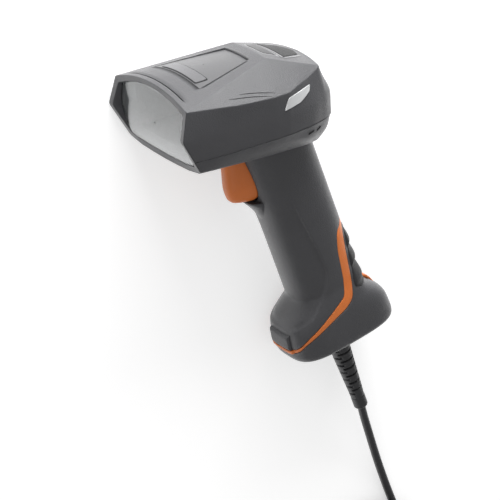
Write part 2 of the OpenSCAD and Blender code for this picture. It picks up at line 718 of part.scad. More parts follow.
module trigger_frame() {
    color(smoke) lay() difference() {
        union() {
            for (side = [-1, 1]) translate([side * (ear_in + ear_out) / 2, 0, 0])
                across([[54.2, chin_z + 0.9], [62, chin_z + 0.9], [62, board_z - 0.5], [54.2, board_z - 0.5]],
                    ear_out - ear_in);
            across([[54.2, board_z - 1.5], [bay_back + 1.4, board_z - 1.5], [bay_back + 1.4, board_z - 0.5],
                [54.2, board_z - 0.5]], 2 * ear_out);
            across([[bay_back + 0.2, bay_bend], [bay_back + 0.2, board_z - 1], [bay_back + 1.4, board_z - 1],
                [bay_back + 1.4, bay_bend + 0.3], side_point(bay_v + 1.4, 25.6), side_point(bay_v + 0.2, 25.6)],
                plate_w);
        }
        rod([-20, pivot[0], pivot[1]], [20, pivot[0], pivot[1]], pin_r + 0.02);
        across([[60, 116], [80, 116], [80, 122.4], [60, 122.4]], 7);
    }
}
module trigger_spring() {
    color(steel) lay() {
        for (x = [-2 : 0.9 : 2])
            translate([x, pivot[0], pivot[1]]) rotate([0, 90, 0]) rotate_extrude($fn = 32)
                translate([pin_r + 0.55, 0]) circle(r = 0.42, $fn = 13);
        rod([-2.45, pivot[0] + 1.25, pivot[1] + 1.45], [2.45, pivot[0] + 1.25, pivot[1] + 1.45], 0.42, 16);
    }
}
module trigger_switch() {
    color(smoke) lay() {
        across([side_point(bay_v + 1.6, 12), side_point(bay_v + 7, 12), side_point(bay_v + 7, 21),
            side_point(bay_v + 1.6, 21)], 6.4);
        across([[68.2, 117.6], [71.4, 117.6], [71.4, 120.6], [68.2, 120.6]], 3);
    }
}
module switch_board() {
    color(board_green) lay()
        across([side_point(bay_v + 7.05, 4), side_point(bay_v + 8.6, 4), side_point(bay_v + 8.6, 27),
            side_point(bay_v + 7.05, 27)], 18);
}

// Reading module behind the light horn
module camera_module() {
    color(smoke) lay() block([-12, 60.4, horn_mid_z - 11], [12, 80, horn_mid_z + 11]);
}
module lens_barrel() {
    color(smoke) lay() translate([0, 0, horn_mid_z]) rotate([-90, 0, 0]) difference() {
        union() {
            translate([0, 0, 51.5]) cylinder(h = 8.9, r = 5, $fn = 48);
            translate([0, 0, 51.5]) cylinder(h = 1.6, r = 5.8, $fn = 48);
        }
        translate([0, 0, 50]) cylinder(h = 3, r1 = 6, r2 = 3.6, $fn = 48);
        translate([0, 0, 50]) cylinder(h = 9, r = 3.6, $fn = 48);
    }
}
module camera_lens() {
    color([0.2, 0.25, 0.4]) lay() translate([0, 0, horn_mid_z]) rotate([-90, 0, 0]) intersection() {
        translate([0, 0, 53]) cylinder(h = 3, r = 3.55, $fn = 48);
        translate([0, 0, 60.6]) sphere(r = 7.6, $fn = 64);
    }
}
led_at = [[12.2, 5.4], [12.2, -5.4]];
module aimer() {
    color(smoke) lay() difference() {
        rod([11.6, 54.5, horn_mid_z], [11.6, 58.55, horn_mid_z], 2);
        rod([11.6, 50, horn_mid_z], [11.6, 57, horn_mid_z], 1.3);
    }
}
module led_board() {
    color(light_grey) lay() difference() {
        block([-17, 58.6, horn_mid_z - 10], [17, 60.2, horn_mid_z + 10]);
        rod([0, 50, horn_mid_z], [0, 70, horn_mid_z], 5 + fit);
    }
}
module lighting_leds() {
    color([0.95, 0.93, 0.7]) lay() {
        for (p = led_at, side = [-1, 1])
            translate([side * p[0], 0, horn_mid_z + p[1]]) block([-1.7, 57.6, -1.5], [1.7, 58.55, 1.5]);
        translate([-11.6, 0, horn_mid_z]) block([-1.7, 57.6, -1.5], [1.7, 58.55, 1.5]);
    }
}
module camera_bracket() {
    color(metal_tin) lay() difference() {
        block([-14, 62, board_z + 1.65], [14, 79, horn_mid_z - 11.05]);
        block([-12.8, 50, board_z], [12.8, 90, horn_mid_z - 12.4]);
    }
}
module main_board() {
    color(board_green) lay() difference() {
        translate([0, 0, board_z]) linear_extrude(height = 1.6)
            polygon([[-25, 38], [25, 38], [25, 80], [14, 96], [-14, 96], [-25, 80]]);
        each_place(post_at) translate([0, 0, board_z - 5]) cylinder(h = 10, r = 1.3, $fn = 24);
    }
}
module processor_shield() {
    color(metal_tin) lay() block([-10, 84.6, board_z + 1.65], [10, 95, board_z + 4.4]);
}
module beeper() {
    color(smoke) lay() translate([-18.6, 70, board_z + 1.65]) difference() {
        cylinder(h = 4, r = 4.4, $fn = 48);
        translate([0, 0, 3]) cylinder(h = 2, r = 0.8, $fn = 16);
    }
}
module board_connector() {
    color(light_grey) lay() block([-7, 44, board_z + 1.65], [7, 49, board_z + 4.2]);
}
module flat_cable() {
    color([0.85, 0.6, 0.25]) lay() across([[80.05, 166], [80.4, 166.4], [82.4, 165.6], [83.6, 162], [83.9, 156],
        [83.9, board_z + 1.65], [83.4, board_z + 1.65], [83.4, 156], [83.1, 161.8], [82.1, 165],
        [80.3, 165.9], [80.05, 165.8]], 10);
}
status_z = horn_mid_z + 13.4;
module status_board() {
    color(board_green) lay() {
        block([-10, 68.5, status_z], [10, 85.5, status_z + 1.3]);
        block([-2, 74, status_z + 1.35], [2, 78, status_z + 2.4]);
    }
}

// Ring of points round a route at one of its places, for cords and cables
function along(route, i) = let (a = route[max(i - 1, 0)], b = route[min(i + 1, len(route) - 1)]) (b - a) / norm(b - a);
function route_ring(route, i, r, sides) = let (
        d = along(route, i),
        u = cross(d, abs(d[2]) > 0.9 ? [0, 1, 0] : [0, 0, 1]),
        e = u / norm(u),
        f = cross(d, e)
    )
    [for (k = [0 : sides - 1]) route[i] + r * (cos(360 * k / sides) * e + sin(360 * k / sides) * f)];
function rounded_route(points, per) = let (k = [for (i = [0 : len(points) - 1]) [i, points[i]]])
    [for (j = [0 : (len(points) - 1) * per]) curve(k, j / per)];
module route_skin(route, r, sides) {
    skin([for (i = [0 : len(route) - 1]) route_ring(route, i, r, sides)]);
}
cable_stops = [[0, -1, handle_l - 18.1], [0, 2, handle_l - 27.5], [4, 2, handle_l - 47.5],
    [5, 1, handle_l - 71.5], [4, 2, 36], [2, 4, 14], [1, 6, -1]];
module inner_cable() {
    color(rubber) lay() {
        route_skin(concat([for (p = rounded_route(cable_stops, 3)) grip_point(p[0], p[1], p[2])],
            [[1, 86.6, board_z - 3], [1, 86.8, board_z - 0.1]]), 1.8, 10);
    }
}
module cord_socket() {
    color(smoke) lay() difference() {
        on_foot([0, relief_v, handle_l - 6], 11, 6.6, 48);
        on_foot([0, relief_v, handle_l - 5], 6, cord_d / 2 + 0.3, 32);
    }
}

// Screws
module screw(head_r, head_h, r, l) {
    cylinder(h = head_h, r = head_r, $fn = 32);
    translate([0, 0, head_h - 0.01]) cylinder(h = l, r = r, $fn = 24);
}
module chin_screws() {
    color(steel) lay() each_place(boss_at) translate([0, 0, chin_z + 0.95]) difference() {
        screw(2.7, 2, 1.5, seam_z - chin_z + 4.5);
        translate([0, 0, -0.1]) cylinder(h = 1.3, r = 1.3, $fn = 6);
    }
}
module board_screws() {
    color(steel) lay() each_place(post_at) translate([0, 0, board_z + 2.8]) mirror([0, 0, 1])
        screw(2.2, 1.15, 1, 7);
}
module sole_screws() {
    color(steel) lay() for (p = sole_at, side = [-1, 1]) let (t = handle_l + foot_slope * (p[1] + foot_front))
        translate(grip_point(side * p[0], p[1], t - 0.6)) rotate([rake, 0, 0]) difference() {
            screw(2.5, 1.3, 1.2, 4.5);
            translate([0, 0, -0.1]) cylinder(h = 0.9, r = 1, $fn = 6);
        }
}

// Strain relief, along -z from the sole
relief_collar = 9;
relief_pitch = 2.9;
module relief_slots() {
    for (k = [0 : 13]) let (z = -7 - k * relief_pitch, r = relief_d / 2 - (relief_d - relief_end_d) / 2 * k / 15)
        rotate([0, 0, 90 * (k % 2)]) for (side = [0, 180]) rotate([0, 0, side])
            translate([r - 1.5, -r * 0.72, z - 0.6]) cube([6, r * 1.44, 1.2]);
}
module strain_relief() {
    color(rubber) lay() translate(grip_point(0, relief_v, relief_t)) rotate([rake, 0, 0]) difference() {
        rotate_extrude($fn = 48) polygon([[cord_d / 2 + 0.1, 3], [relief_d / 2, 3], [relief_d / 2, -3],
            [relief_d / 2 - 0.3, -5], [relief_end_d / 2 - 0.1, -relief_l + relief_collar],
            [relief_end_d / 2, -relief_l + relief_collar - 0.6], [relief_end_d / 2, -relief_l + 1],
            [relief_end_d / 2 - 1, -relief_l], [cord_d / 2 + 0.1, -relief_l]]);
        relief_slots();
    }
}

// Cord: route over the table from the strain relief to the coil, then from the coil to the plug
coil_at = [230, 68];
coil_r = 30;
coil_rings = 4;
coil_layers = 2;
coil_step = cord_d - 0.06;
tie_t = 0.6;
coil_low = tie_t + 0.1;
cord_route = [
    [124.4, 68.9, 12.3], [131, 71.3, 10.9], [139, 74.3, 9.3], [148, 77.6, 7.6], [157, 80.9, 6],
    [166, 84.2, 4.7], [175, 87.6, 3.6], [184, 90.9, 2.9], [193, 94.2, 2.6], [197.6, 95.9, 2.6]
];
tail_route = [
    [215.2, 107.9, 8.1], [224.8, 110.4, 7.6], [234.5, 110.6, 6.4], [243.9, 108.5, 5], [252.7, 104.4, 3.9],
    [260, 99.1, 3.3], [266, 93.2, 3.1], [271.4, 86.4, 3.2], [275.6, 78.5, 3.5], [278, 70.5, 3.9],
    [278.6, 61.5, 4]
];
plug_at = [278.7, 60.5, 4];
cord_start = grip_point(0, relief_v, handle_l - 8.6);
module cord() {
    color(rubber) {
        route_skin(concat([lay_point(cord_start), lay_point(grip_point(0, relief_v, relief_t)),
            lay_point(relief_end)], cord_route), cord_d / 2, 12);
        route_skin(tail_route, cord_d / 2, 12);
    }
}
module cord_coil() {
    color(rubber) translate([coil_at[0], coil_at[1], coil_low]) rotate_extrude($fn = 72)
        for (i = [0 : coil_rings - 1], j = [0 : coil_layers - 1])
            translate([coil_r + (i - (coil_rings - 1) / 2) * coil_step, cord_d / 2 + j * coil_step])
                circle(r = cord_d / 2, $fn = 24);
}
module coil_tie() {
    w = coil_rings * cord_d + 0.9;
    h = coil_layers * cord_d + 0.9;
    color(rubber) translate([coil_at[0], coil_at[1], 0]) rotate([0, 0, 215]) difference() {
        block([coil_r - w / 2 - tie_t, -4, 0], [coil_r + w / 2 + tie_t, 4, h + 2 * tie_t]);
        block([coil_r - w / 2, -10, tie_t], [coil_r + w / 2, 10, h + tie_t]);
    }
}
module plug_body() {
    color(rubber) translate(plug_at) mirror([0, 1, 0]) difference() {
        hull() for (x = [-6.4, 6.4], z = [-2.2, 2.2])
            translate([x, 0, z]) rotate([-90, 0, 0]) cylinder(h = 27, r = 1.6, $fn = 24);
        translate([-6.1, 26.9, -2.35]) cube([12.2, 3, 4.7]);
        for (side = [-1, 1], k = [0 : 4])
            translate([side * 8.4 - 0.8, 8 + k * 2.6, -5]) cube([1.6, 1.2, 10]);
    }
}
module plug_shell() {
    color(metal_tin) translate(plug_at - [0, 27.05, 0]) mirror([0, 1, 0]) difference() {
        translate([-6, 0, -2.25]) cube([12, 12, 4.5]);
        translate([-5.7, 1, -0.1]) cube([11.4, 20, 2.05]);
        for (x = [-2.9, 2.9]) translate([x - 1.1, 5.5, 1]) cube([2.2, 2.2, 4]);
    }
}

head_cover();
chin_shell();
front_bezel();
exit_window();
light_horn();
cover_seal();
top_panel();
blank_plate();
status_lens();
rear_panel();
side_lens_left();
side_lens_right();
grip_shell();
back_shell();
orange_band();
rear_grip();
nose_bumper();
lanyard_bar();
trigger();
trigger_pin();
trigger_frame();
trigger_spring();
trigger_switch();
switch_board();
camera_module();
lens_barrel();
camera_lens();
aimer();
led_board();
lighting_leds();
camera_bracket();
main_board();
processor_shield();
beeper();
board_connector();
flat_cable();
status_board();
inner_cable();
cord_socket();
chin_screws();
board_screws();
sole_screws();
strain_relief();
cord();
cord_coil();
coil_tie();
plug_body();
plug_shell();
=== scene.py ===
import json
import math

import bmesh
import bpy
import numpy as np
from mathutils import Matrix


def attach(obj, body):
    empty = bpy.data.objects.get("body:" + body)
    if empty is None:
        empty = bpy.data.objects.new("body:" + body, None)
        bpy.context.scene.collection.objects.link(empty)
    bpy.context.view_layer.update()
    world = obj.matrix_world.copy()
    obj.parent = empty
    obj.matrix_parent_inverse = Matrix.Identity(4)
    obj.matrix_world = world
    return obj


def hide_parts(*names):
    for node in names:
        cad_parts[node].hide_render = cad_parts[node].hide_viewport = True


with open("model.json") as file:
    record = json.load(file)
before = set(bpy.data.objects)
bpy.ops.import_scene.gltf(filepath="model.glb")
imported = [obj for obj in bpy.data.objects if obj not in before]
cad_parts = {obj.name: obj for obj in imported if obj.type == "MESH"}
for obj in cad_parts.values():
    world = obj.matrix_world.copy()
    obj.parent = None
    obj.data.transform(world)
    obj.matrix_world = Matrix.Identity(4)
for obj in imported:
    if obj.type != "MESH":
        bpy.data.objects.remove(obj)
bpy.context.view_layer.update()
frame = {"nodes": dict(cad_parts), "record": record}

# %% [markdown]
# # A hand-held barcode scanner, dressed
#
# The frame holds the scanner's engineering solids, lying on their right side on
# a table, as such a scanner comes to rest. This lesson keeps the hidden works
# as they are and makes every moulding that shows again as a smooth surface,
# with its own finish. Every length is in metres, and helper functions take the
# scanner in millimetres and upright, because that is how it is easiest to read:
# x towards its left side, y from the reading window to the back, z upwards.

# %% [markdown]
# ## From upright millimetres to the table
#
# The trigger's hinge tells how the scanner lies: its axis is the upright x
# direction, and its place is one known point. So both the lean and the shift
# are read from the frame, and a change in the solids moves every piece along.

# %% The two directions of travel between upright and lying
record_joint = frame["record"]["behaviour"]["joints"][0]
hinge_axis = np.array(record_joint["axis"], float)
hinge_place = np.array(record_joint["pos_m"], float)
lean = math.atan2(hinge_axis[0], hinge_axis[2])
PIVOT = np.array([0.0, 58.0, 145.8])
TURN = np.array([
    [math.sin(lean), 0.0, -math.cos(lean)],
    [0.0, 1.0, 0.0],
    [math.cos(lean), 0.0, math.sin(lean)],
])
SHIFT = hinge_place - TURN @ PIVOT / 1000


def laid(points):
    """Upright millimetres to the table's metres: a quarter turn, the lean and a shift."""
    return np.asarray(points, float) @ TURN.T / 1000 + SHIFT


print("lean", math.degrees(lean), "shift", SHIFT)

# %% [markdown]
# ## The camera
#
# The photograph was taken from the scanner's left and front, a little from
# above, with a long lens. The camera is placed with those two angles in the
# upright directions, and then laid down together with the scanner, so that the
# picture shows the scanner exactly as the photograph does.

# %% Camera
TARGET = np.array([0.0, 67.0, 75.0])
DISTANCE = 1300.0
SWING = math.radians(56.43)
DROP = math.radians(23.07)
LENS_MM = 166.89
right = np.array([math.cos(SWING), math.sin(SWING), 0.0])
ahead = np.array([
    -math.sin(SWING) * math.cos(DROP),
    math.cos(SWING) * math.cos(DROP),
    -math.sin(DROP),
])
above = np.cross(right, ahead)
scene = bpy.context.scene
camera_data = bpy.data.cameras.new("camera")
camera_data.lens = LENS_MM
camera_data.sensor_width = 36.0
camera = bpy.data.objects.new("camera", camera_data)
scene.collection.objects.link(camera)
axes = np.stack([TURN @ right, TURN @ above, -(TURN @ ahead)], axis=1)
pose = np.eye(4)
pose[:3, :3] = axes
pose[:3, 3] = laid(TARGET - DISTANCE * ahead)
camera.matrix_world = Matrix(pose.tolist())
scene.camera = camera
scene.view_settings.view_transform = "Standard"
print("camera at", pose[:3, 3])

# %% [markdown]
# ## Tools for surfaces
#
# A moulded shell is a net of key points: some rows from front to back, some
# columns round the section. Straight stretches stay straight and each key
# corner is turned into a short arc, once along the rows and once along the
# columns. That gives crisp but soft edges, as a mould has, with few numbers.

# %% Rounded nets and meshes
def rounded(keys, reach, arc=5, straight=3):
    """Polylines through keys (k, ..., 3) with each inner corner replaced by a quadratic arc that starts
    reach mm before it and ends reach mm after it; straight stretches are cut in equal steps."""
    keys = np.asarray(keys, float)
    count = len(keys)
    reach = np.broadcast_to(np.asarray(reach, float), (count,))
    step = np.diff(keys, axis=0)
    length = np.linalg.norm(step, axis=-1, keepdims=True) + 1e-9
    heading = step / length
    start, end = [keys[0]], []
    for i in range(1, count - 1):
        before = np.minimum(reach[i], 0.45 * length[i - 1])
        after = np.minimum(reach[i], 0.45 * length[i])
        end.append(keys[i] - heading[i - 1] * before)
        start.append(keys[i] + heading[i] * after)
    end.append(keys[-1])
    rows = []
    for i in range(count - 1):
        t = np.linspace(0, 1, straight + 1).reshape(-1, *([1] * (keys.ndim - 1)))
        stretch = start[i] + t * (end[i] - start[i])
        rows.append(stretch if i == count - 2 or reach[i + 1] > 0 else stretch[:-1])
        if i < count - 2 and reach[i + 1] > 0:
            t = np.linspace(0, 1, arc + 1).reshape(-1, *([1] * (keys.ndim - 1)))[1:-1]
            rows.append((1 - t) ** 2 * end[i] + 2 * t * (1 - t) * keys[i + 1] + t**2 * start[i + 1])
    return np.concatenate(rows)


def net(keys, row_reach, column_reach, arc=5, straight=3, column_straight=3):
    """Rounds a net of keys (rows, columns, 3) along both directions."""
    grid = rounded(keys, row_reach, arc, straight)
    return rounded(grid.transpose(1, 0, 2), column_reach, arc, column_straight).transpose(1, 0, 2)


def grid_faces(rows, columns, closed=False, keep=None):
    """Corner numbers of the quads of a grid; closed joins the last column to the first, and keep is a
    mask of the quads that stay."""
    i, j = np.meshgrid(np.arange(rows - 1), np.arange(columns if closed else columns - 1), indexing="ij")
    k = (j + 1) % columns
    here, below = i * columns, (i + 1) * columns
    quads = np.stack([here + j, here + k, below + k, below + j], axis=-1)
    return quads[keep] if keep is not None else quads.reshape(-1, 4)


def looped(grid):
    """A grid whose last column joins its first, as a part for piece()."""
    return grid, grid_faces(*grid.shape[:2], closed=True)


def piece(name, parts, body="housing", outward=None, flip=False):
    """A mesh object from grids in upright mm. parts is a list of (points, quads); each part's quads count
    from its own first point. The faces are turned so that they look away from the point outward, or
    outwards from a closed form where outward is None; flip turns them the other way."""
    points, quads, first = [], [], 0
    for cloud, faces in parts:
        cloud = np.asarray(cloud, float).reshape(-1, 3)
        faces = np.asarray(faces)
        a, b, c, d = (cloud[faces[:, k]] for k in range(4))
        centre = cloud.mean(axis=0) if outward is None else np.asarray(outward, float)
        flow = np.einsum("ij,ij->", np.cross(c - a, d - b), (a + b + c + d) / 4 - centre)
        if (flow < 0) != flip:
            faces = faces[:, ::-1]
        points.append(cloud)
        quads.append(faces + first)
        first += len(cloud)
    points, quads = laid(np.concatenate(points)), np.concatenate(quads)
    mesh = bpy.data.meshes.new(name)
    mesh.from_pydata(points.tolist(), [], quads.tolist())
    build = bmesh.new()
    build.from_mesh(mesh)
    bmesh.ops.remove_doubles(build, verts=build.verts, dist=1e-6)
    build.to_mesh(mesh)
    build.free()
    mesh.shade_smooth()
    thing = bpy.data.objects.new(name, mesh)
    scene.collection.objects.link(thing)
    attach(thing, body)
    print(name, len(mesh.vertices), "points", len(mesh.polygons), "faces")
    return thing


def smooth_step(value, low, high):
    """0 below low, 1 above high and a soft S between them."""
    t = np.clip((value - low) / (high - low), 0, 1)
    return t * t * (3 - 2 * t)


def knots(table, t):
    """Cubic curve through a table of (place, value...) rows, with each slope taken from both neighbours."""
    table = np.asarray(table, float)
    at, value = table[:, 0], table[:, 1:]
    t = np.clip(np.asarray(t, float), at[0], at[-1])
    low = np.clip(np.searchsorted(at, t, side="right") - 1, 0, len(at) - 2)
    last = len(at) - 1
    slope = np.stack([
        (value[min(i + 1, last)] - value[max(i - 1, 0)]) / (at[min(i + 1, last)] - at[max(i - 1, 0)])
        for i in range(len(at))
    ])
    h = (at[low + 1] - at[low])[..., None]
    s = (t[..., None] - at[low][..., None]) / h
    return (
        (2 * s**3 - 3 * s**2 + 1) * value[low] + (s**3 - 2 * s**2 + s) * h * slope[low]
        + (3 * s**2 - 2 * s**3) * value[low + 1] + (s**3 - s**2) * h * slope[low + 1]
    )


# %% [markdown]
# ## The cord
#
# The lead is a 5 mm round cable, almost 1.8 m long with the stretch inside the
# relief. It leaves the relief straight, sinks to the table within 80 mm, and
# what the photograph doesn't show is wound in a flat coil of two layers beside
# the picture. The tube is a ring of points carried along the route: at each
# step the ring stands square to the route.

# %% Route of the cord
CORD_D = 5.0
COIL_AT = np.array([230.0, 68.0])
COIL_LOW = 0.7  # the tie lies under the coil and lifts it
COIL_R = [37.41, 32.47, 27.53, 22.59]
COIL_EXIT_R = 42.6  # where the last turn leaves the coil
COIL_START = math.radians(110.4)
LAYER = 4.94  # height of the upper turns over the lower ones
lead_out = np.array([
    [118.0, 66.7, 13.7], [124.4, 68.9, 12.3], [131.0, 71.3, 10.9], [139.0, 74.3, 9.3], [148.0, 77.6, 7.6],
    [157.0, 80.9, 6.0], [166.0, 84.2, 4.7], [175.0, 87.6, 3.6], [184.0, 90.9, 2.9], [193.0, 94.2, 2.6],
    [201.0, 97.2, 2.75], [209.0, 100.1, 3.0],
])
tail = np.array([
    [224.8, 110.15, 7.6], [234.5, 110.2, 6.4], [243.9, 108.3, 5.0], [252.7, 104.4, 3.9], [260.0, 99.1, 3.3],
    [266.0, 93.2, 3.1], [271.4, 86.4, 3.2], [275.6, 78.5, 3.5], [278.0, 70.5, 3.9], [278.6, 61.5, 4.0],
])


def coil_turns(per_turn=24):
    """Eight clockwise turns: four inwards near the table, then four outwards on top of them. The radius
    holds for 0.7 of a turn and moves over by one cord in the rest; the last turn moves outwards over the
    lead and off the coil."""
    radii = np.array(COIL_R + COIL_R[::-1] + [COIL_EXIT_R])
    heights = np.array([CORD_D / 2] * 4 + [CORD_D / 2 + LAYER] * 5)
    t = np.arange(per_turn * 8 + 1) / per_turn
    turn = np.minimum(t.astype(int), 7)
    share = smooth_step(t - turn, 0.70, 1.0)
    radius = radii[turn] * (1 - share) + radii[turn + 1] * share
    height = heights[turn] * (1 - share) + heights[turn + 1] * share + COIL_LOW
    angle = COIL_START - 2 * math.pi * t
    x, y = COIL_AT[0] + radius * np.cos(angle), COIL_AT[1] + radius * np.sin(angle)
    return np.stack([x, y, height], axis=1)


def smooth_route(points, per):
    """Catmull-Rom curve through the points, with per steps between two of them."""
    p = np.concatenate([[2 * points[0] - points[1]], points, [2 * points[-1] - points[-2]]])
    t = (np.arange(per) / per)[None, :, None]
    a, b, c, d = (p[i : len(p) - 3 + i][:, None] for i in range(4))
    bend, twist = 2 * a - 5 * b + 4 * c - d, 3 * b - a - 3 * c + d
    curve = 0.5 * (2 * b + (c - a) * t + bend * t**2 + twist * t**3)
    return np.concatenate([curve.reshape(-1, 3), points[-1:]])


def tube(route, radius, sides=20):
    """Rings square to the route. Each ring's first direction is the last one's, made square again, so
    the tube doesn't twist."""
    heading = np.gradient(route, axis=0)
    heading /= np.linalg.norm(heading, axis=1, keepdims=True)
    out = np.empty_like(route)
    guide = np.array([0.0, 0.0, 1.0])
    for i, h in enumerate(heading):
        guide = guide - h * (guide @ h)
        guide /= np.linalg.norm(guide)
        out[i] = guide
    side = np.cross(heading, out)
    angle = np.linspace(0, 2 * math.pi, sides, endpoint=False)[None, :, None]
    radius = np.broadcast_to(radius, (len(route),))[:, None, None]
    return route[:, None] + radius * (np.cos(angle) * out[:, None] + np.sin(angle) * side[:, None])


whole_route = smooth_route(np.concatenate([lead_out, coil_turns(), tail]), 2)


# The route is in the table's millimetres; piece() takes upright ones.
rings = tube(whole_route, CORD_D / 2)
cord = piece("lead", [looped((rings / 1000 - SHIFT) * 1000 @ TURN)])
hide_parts("cord", "cord_coil")

# %% [markdown]
# ## Materials
#
# A moulded plastic isn't one flat colour: the mould leaves a fine grain, the
# skin is a little uneven in gloss, handling leaves a few pale specks, and sharp
# edges are paler, partly polished by handling and partly a painted highlight.
# Each of these is a small node group that puts out a mask, a value or a normal,
# and each material mixes them in its own amounts, so that the grain has the
# same scale on every moulding.

# %% Node helpers
FINISH = {}


def group(name, inputs, outputs):
    """A new node group with float inputs {name: default} and outputs {name: kind}."""
    tree = bpy.data.node_groups.new(name, "ShaderNodeTree")
    for label, value in inputs.items():
        socket = tree.interface.new_socket(name=label, in_out="INPUT", socket_type="NodeSocketFloat")
        socket.default_value = value
    for label, kind in outputs.items():
        tree.interface.new_socket(name=label, in_out="OUTPUT", socket_type=f"NodeSocket{kind}")
    return tree, tree.nodes.new("NodeGroupInput"), tree.nodes.new("NodeGroupOutput")


def add(tree, kind, values=None, links=None, **settings):
    """A node with its settings, socket values and incoming links."""
    node = tree.nodes.new(f"ShaderNode{kind}")
    for key, value in settings.items():
        setattr(node, key, value)
    for key, value in (values or {}).items():
        node.inputs[key].default_value = value
    for key, source in (links or {}).items():
        tree.links.new(source, node.inputs[key])
    return node


def math_node(tree, operation, a, b):
    """One Math node on two values or sockets, and its result."""
    node = tree.nodes.new("ShaderNodeMath")
    node.operation = operation
    for slot, value in enumerate((a, b)):
        if isinstance(value, (int, float)):
            node.inputs[slot].default_value = value
        else:
            tree.links.new(value, node.inputs[slot])
    return node.outputs[0]


DUST_COLOUR = (0.6, 0.59, 0.57, 1.0)


def use(tree, source, **values):
    """A node that runs a node group, with some of its inputs set."""
    node = add(tree, "Group", node_tree=source)
    for key, value in values.items():
        node.inputs[key].default_value = value
    return node


def new_material(name):
    """Enters a new material in the table of finishes; gives its node tree and its Principled shader."""
    material = FINISH[name] = bpy.data.materials.new(name)
    material.use_nodes = True
    return material.node_tree, material.node_tree.nodes["Principled BSDF"]


# %% Grain: the fine erosion texture of a mould
grain, grain_in, grain_out = group("mould_grain", {"Size": 2200.0, "Depth": 0.02}, {"Normal": "Vector"})
place = add(grain, "TexCoord").outputs["Object"]
size = grain_in.outputs["Size"]
pits = add(grain, "TexNoise", {"Detail": 2.0, "Roughness": 0.6}, {"Vector": place, "Scale": size})
cells = add(grain, "TexVoronoi", {"Randomness": 1.0},
            {"Vector": place, "Scale": math_node(grain, "MULTIPLY", size, 0.55)}, feature="SMOOTH_F1")
shallow = math_node(grain, "MULTIPLY", cells.outputs["Distance"], 0.5)
relief = math_node(grain, "ADD", pits.outputs["Fac"], shallow)
relief = math_node(grain, "MULTIPLY", relief, grain_in.outputs["Depth"])
bump = add(grain, "Bump", {"Strength": 0.5, "Distance": 0.001}, {"Height": relief})
grain.links.new(bump.outputs["Normal"], grain_out.inputs["Normal"])
print("grain nodes", len(grain.nodes))

# %% Handling: broad unevenness in gloss, a few pale specks of dust
handling, handling_in, handling_out = group(
    "handling_marks", {"Patches": 60.0, "Specks": 700.0, "Speck share": 0.08},
    {"Cloud": "Float", "Dust": "Float"})
place = add(handling, "TexCoord").outputs["Object"]
cloud = add(handling, "TexNoise", {"Detail": 4.0, "Roughness": 0.55},
            {"Vector": place, "Scale": handling_in.outputs["Patches"]})
speck = add(handling, "TexVoronoi", {"Randomness": 1.0},
            {"Vector": place, "Scale": handling_in.outputs["Specks"]})
near = math_node(handling, "LESS_THAN", speck.outputs["Distance"], 0.16)
tint = add(handling, "SeparateColor", links={"Color": speck.outputs["Color"]}).outputs["Red"]
few = math_node(handling, "LESS_THAN", tint, handling_in.outputs["Speck share"])
handling.links.new(cloud.outputs["Fac"], handling_out.inputs["Cloud"])
handling.links.new(math_node(handling, "MULTIPLY", near, few), handling_out.inputs["Dust"])
print("handling nodes", len(handling.nodes))

# %% Edge wear and highlight: where the surface bends sharply it is paler, partly polished by wear and partly a painted highlight
wear_and_highlight, wear_and_highlight_in, wear_and_highlight_out = group("edge_wear_and_highlight", {"Low": 0.52, "High": 0.62}, {"Edge": "Float"})
reach = add(wear_and_highlight, "MapRange", links={
    "Value": add(wear_and_highlight, "NewGeometry").outputs["Pointiness"],
    "From Min": wear_and_highlight_in.outputs["Low"], "From Max": wear_and_highlight_in.outputs["High"],
})
place = add(wear_and_highlight, "TexCoord").outputs["Object"]
patchy_edge = add(wear_and_highlight, "TexNoise", {"Scale": 180.0, "Detail": 3.0}, {"Vector": place})
edge = math_node(wear_and_highlight, "MULTIPLY", reach.outputs["Result"], patchy_edge.outputs["Fac"])
wear_and_highlight.links.new(edge, wear_and_highlight_out.inputs["Edge"])
print("wear nodes", len(wear_and_highlight.nodes))


# %% Recipes for mouldings, for metals and for clear parts
def moulded(name, colour, rough, spread=0.12, grain_depth=0.3, grain_size=2200.0, edge=0.0, dust=0.0,
            mottled=0.05, **sockets):
    """A moulded plastic or rubber: colour = base, darker and lighter by the cloud mask, paler at sharp edges
    (part wear, part painted highlight) and by dust; roughness = rough plus or minus spread by the same cloud;
    normal = mould grain."""
    tree, shader = new_material(name)
    for key, value in sockets.items():
        shader.inputs[key.replace("_", " ")].default_value = value
    marks, corners = use(tree, handling), use(tree, wear_and_highlight)
    skin = use(tree, grain, Size=grain_size, Depth=grain_depth)
    ramp = add(tree, "ValToRGB", links={"Fac": marks.outputs["Cloud"]})
    for stop, at, share in zip(ramp.color_ramp.elements, (0.3, 0.7), (1 - mottled, 1 + mottled)):
        stop.position, stop.color = at, [min(1, c * share) for c in colour] + [1.0]
    # The paler colour at sharp edges is part wear and part painted highlight.
    worn_and_highlit = [min(1, c * 1.5 + 0.03) for c in colour] + [1.0]
    shade = ramp.outputs["Color"]
    layers = ((corners.outputs["Edge"], edge, worn_and_highlit), (marks.outputs["Dust"], dust, DUST_COLOUR))
    for mask, amount, tint in layers:
        strength = math_node(tree, "MULTIPLY", mask, amount)
        mix = add(tree, "Mix", {"B": tint}, {"Factor": strength, "A": shade}, data_type="RGBA")
        shade = mix.outputs["Result"]
    tree.links.new(shade, shader.inputs["Base Color"])
    gloss = add(tree, "MapRange", {"From Min": 0.3, "From Max": 0.7, "To Min": rough - spread,
                                   "To Max": rough + spread}, {"Value": marks.outputs["Cloud"]})
    tree.links.new(gloss.outputs["Result"], shader.inputs["Roughness"])
    tree.links.new(skin.outputs["Normal"], shader.inputs["Normal"])


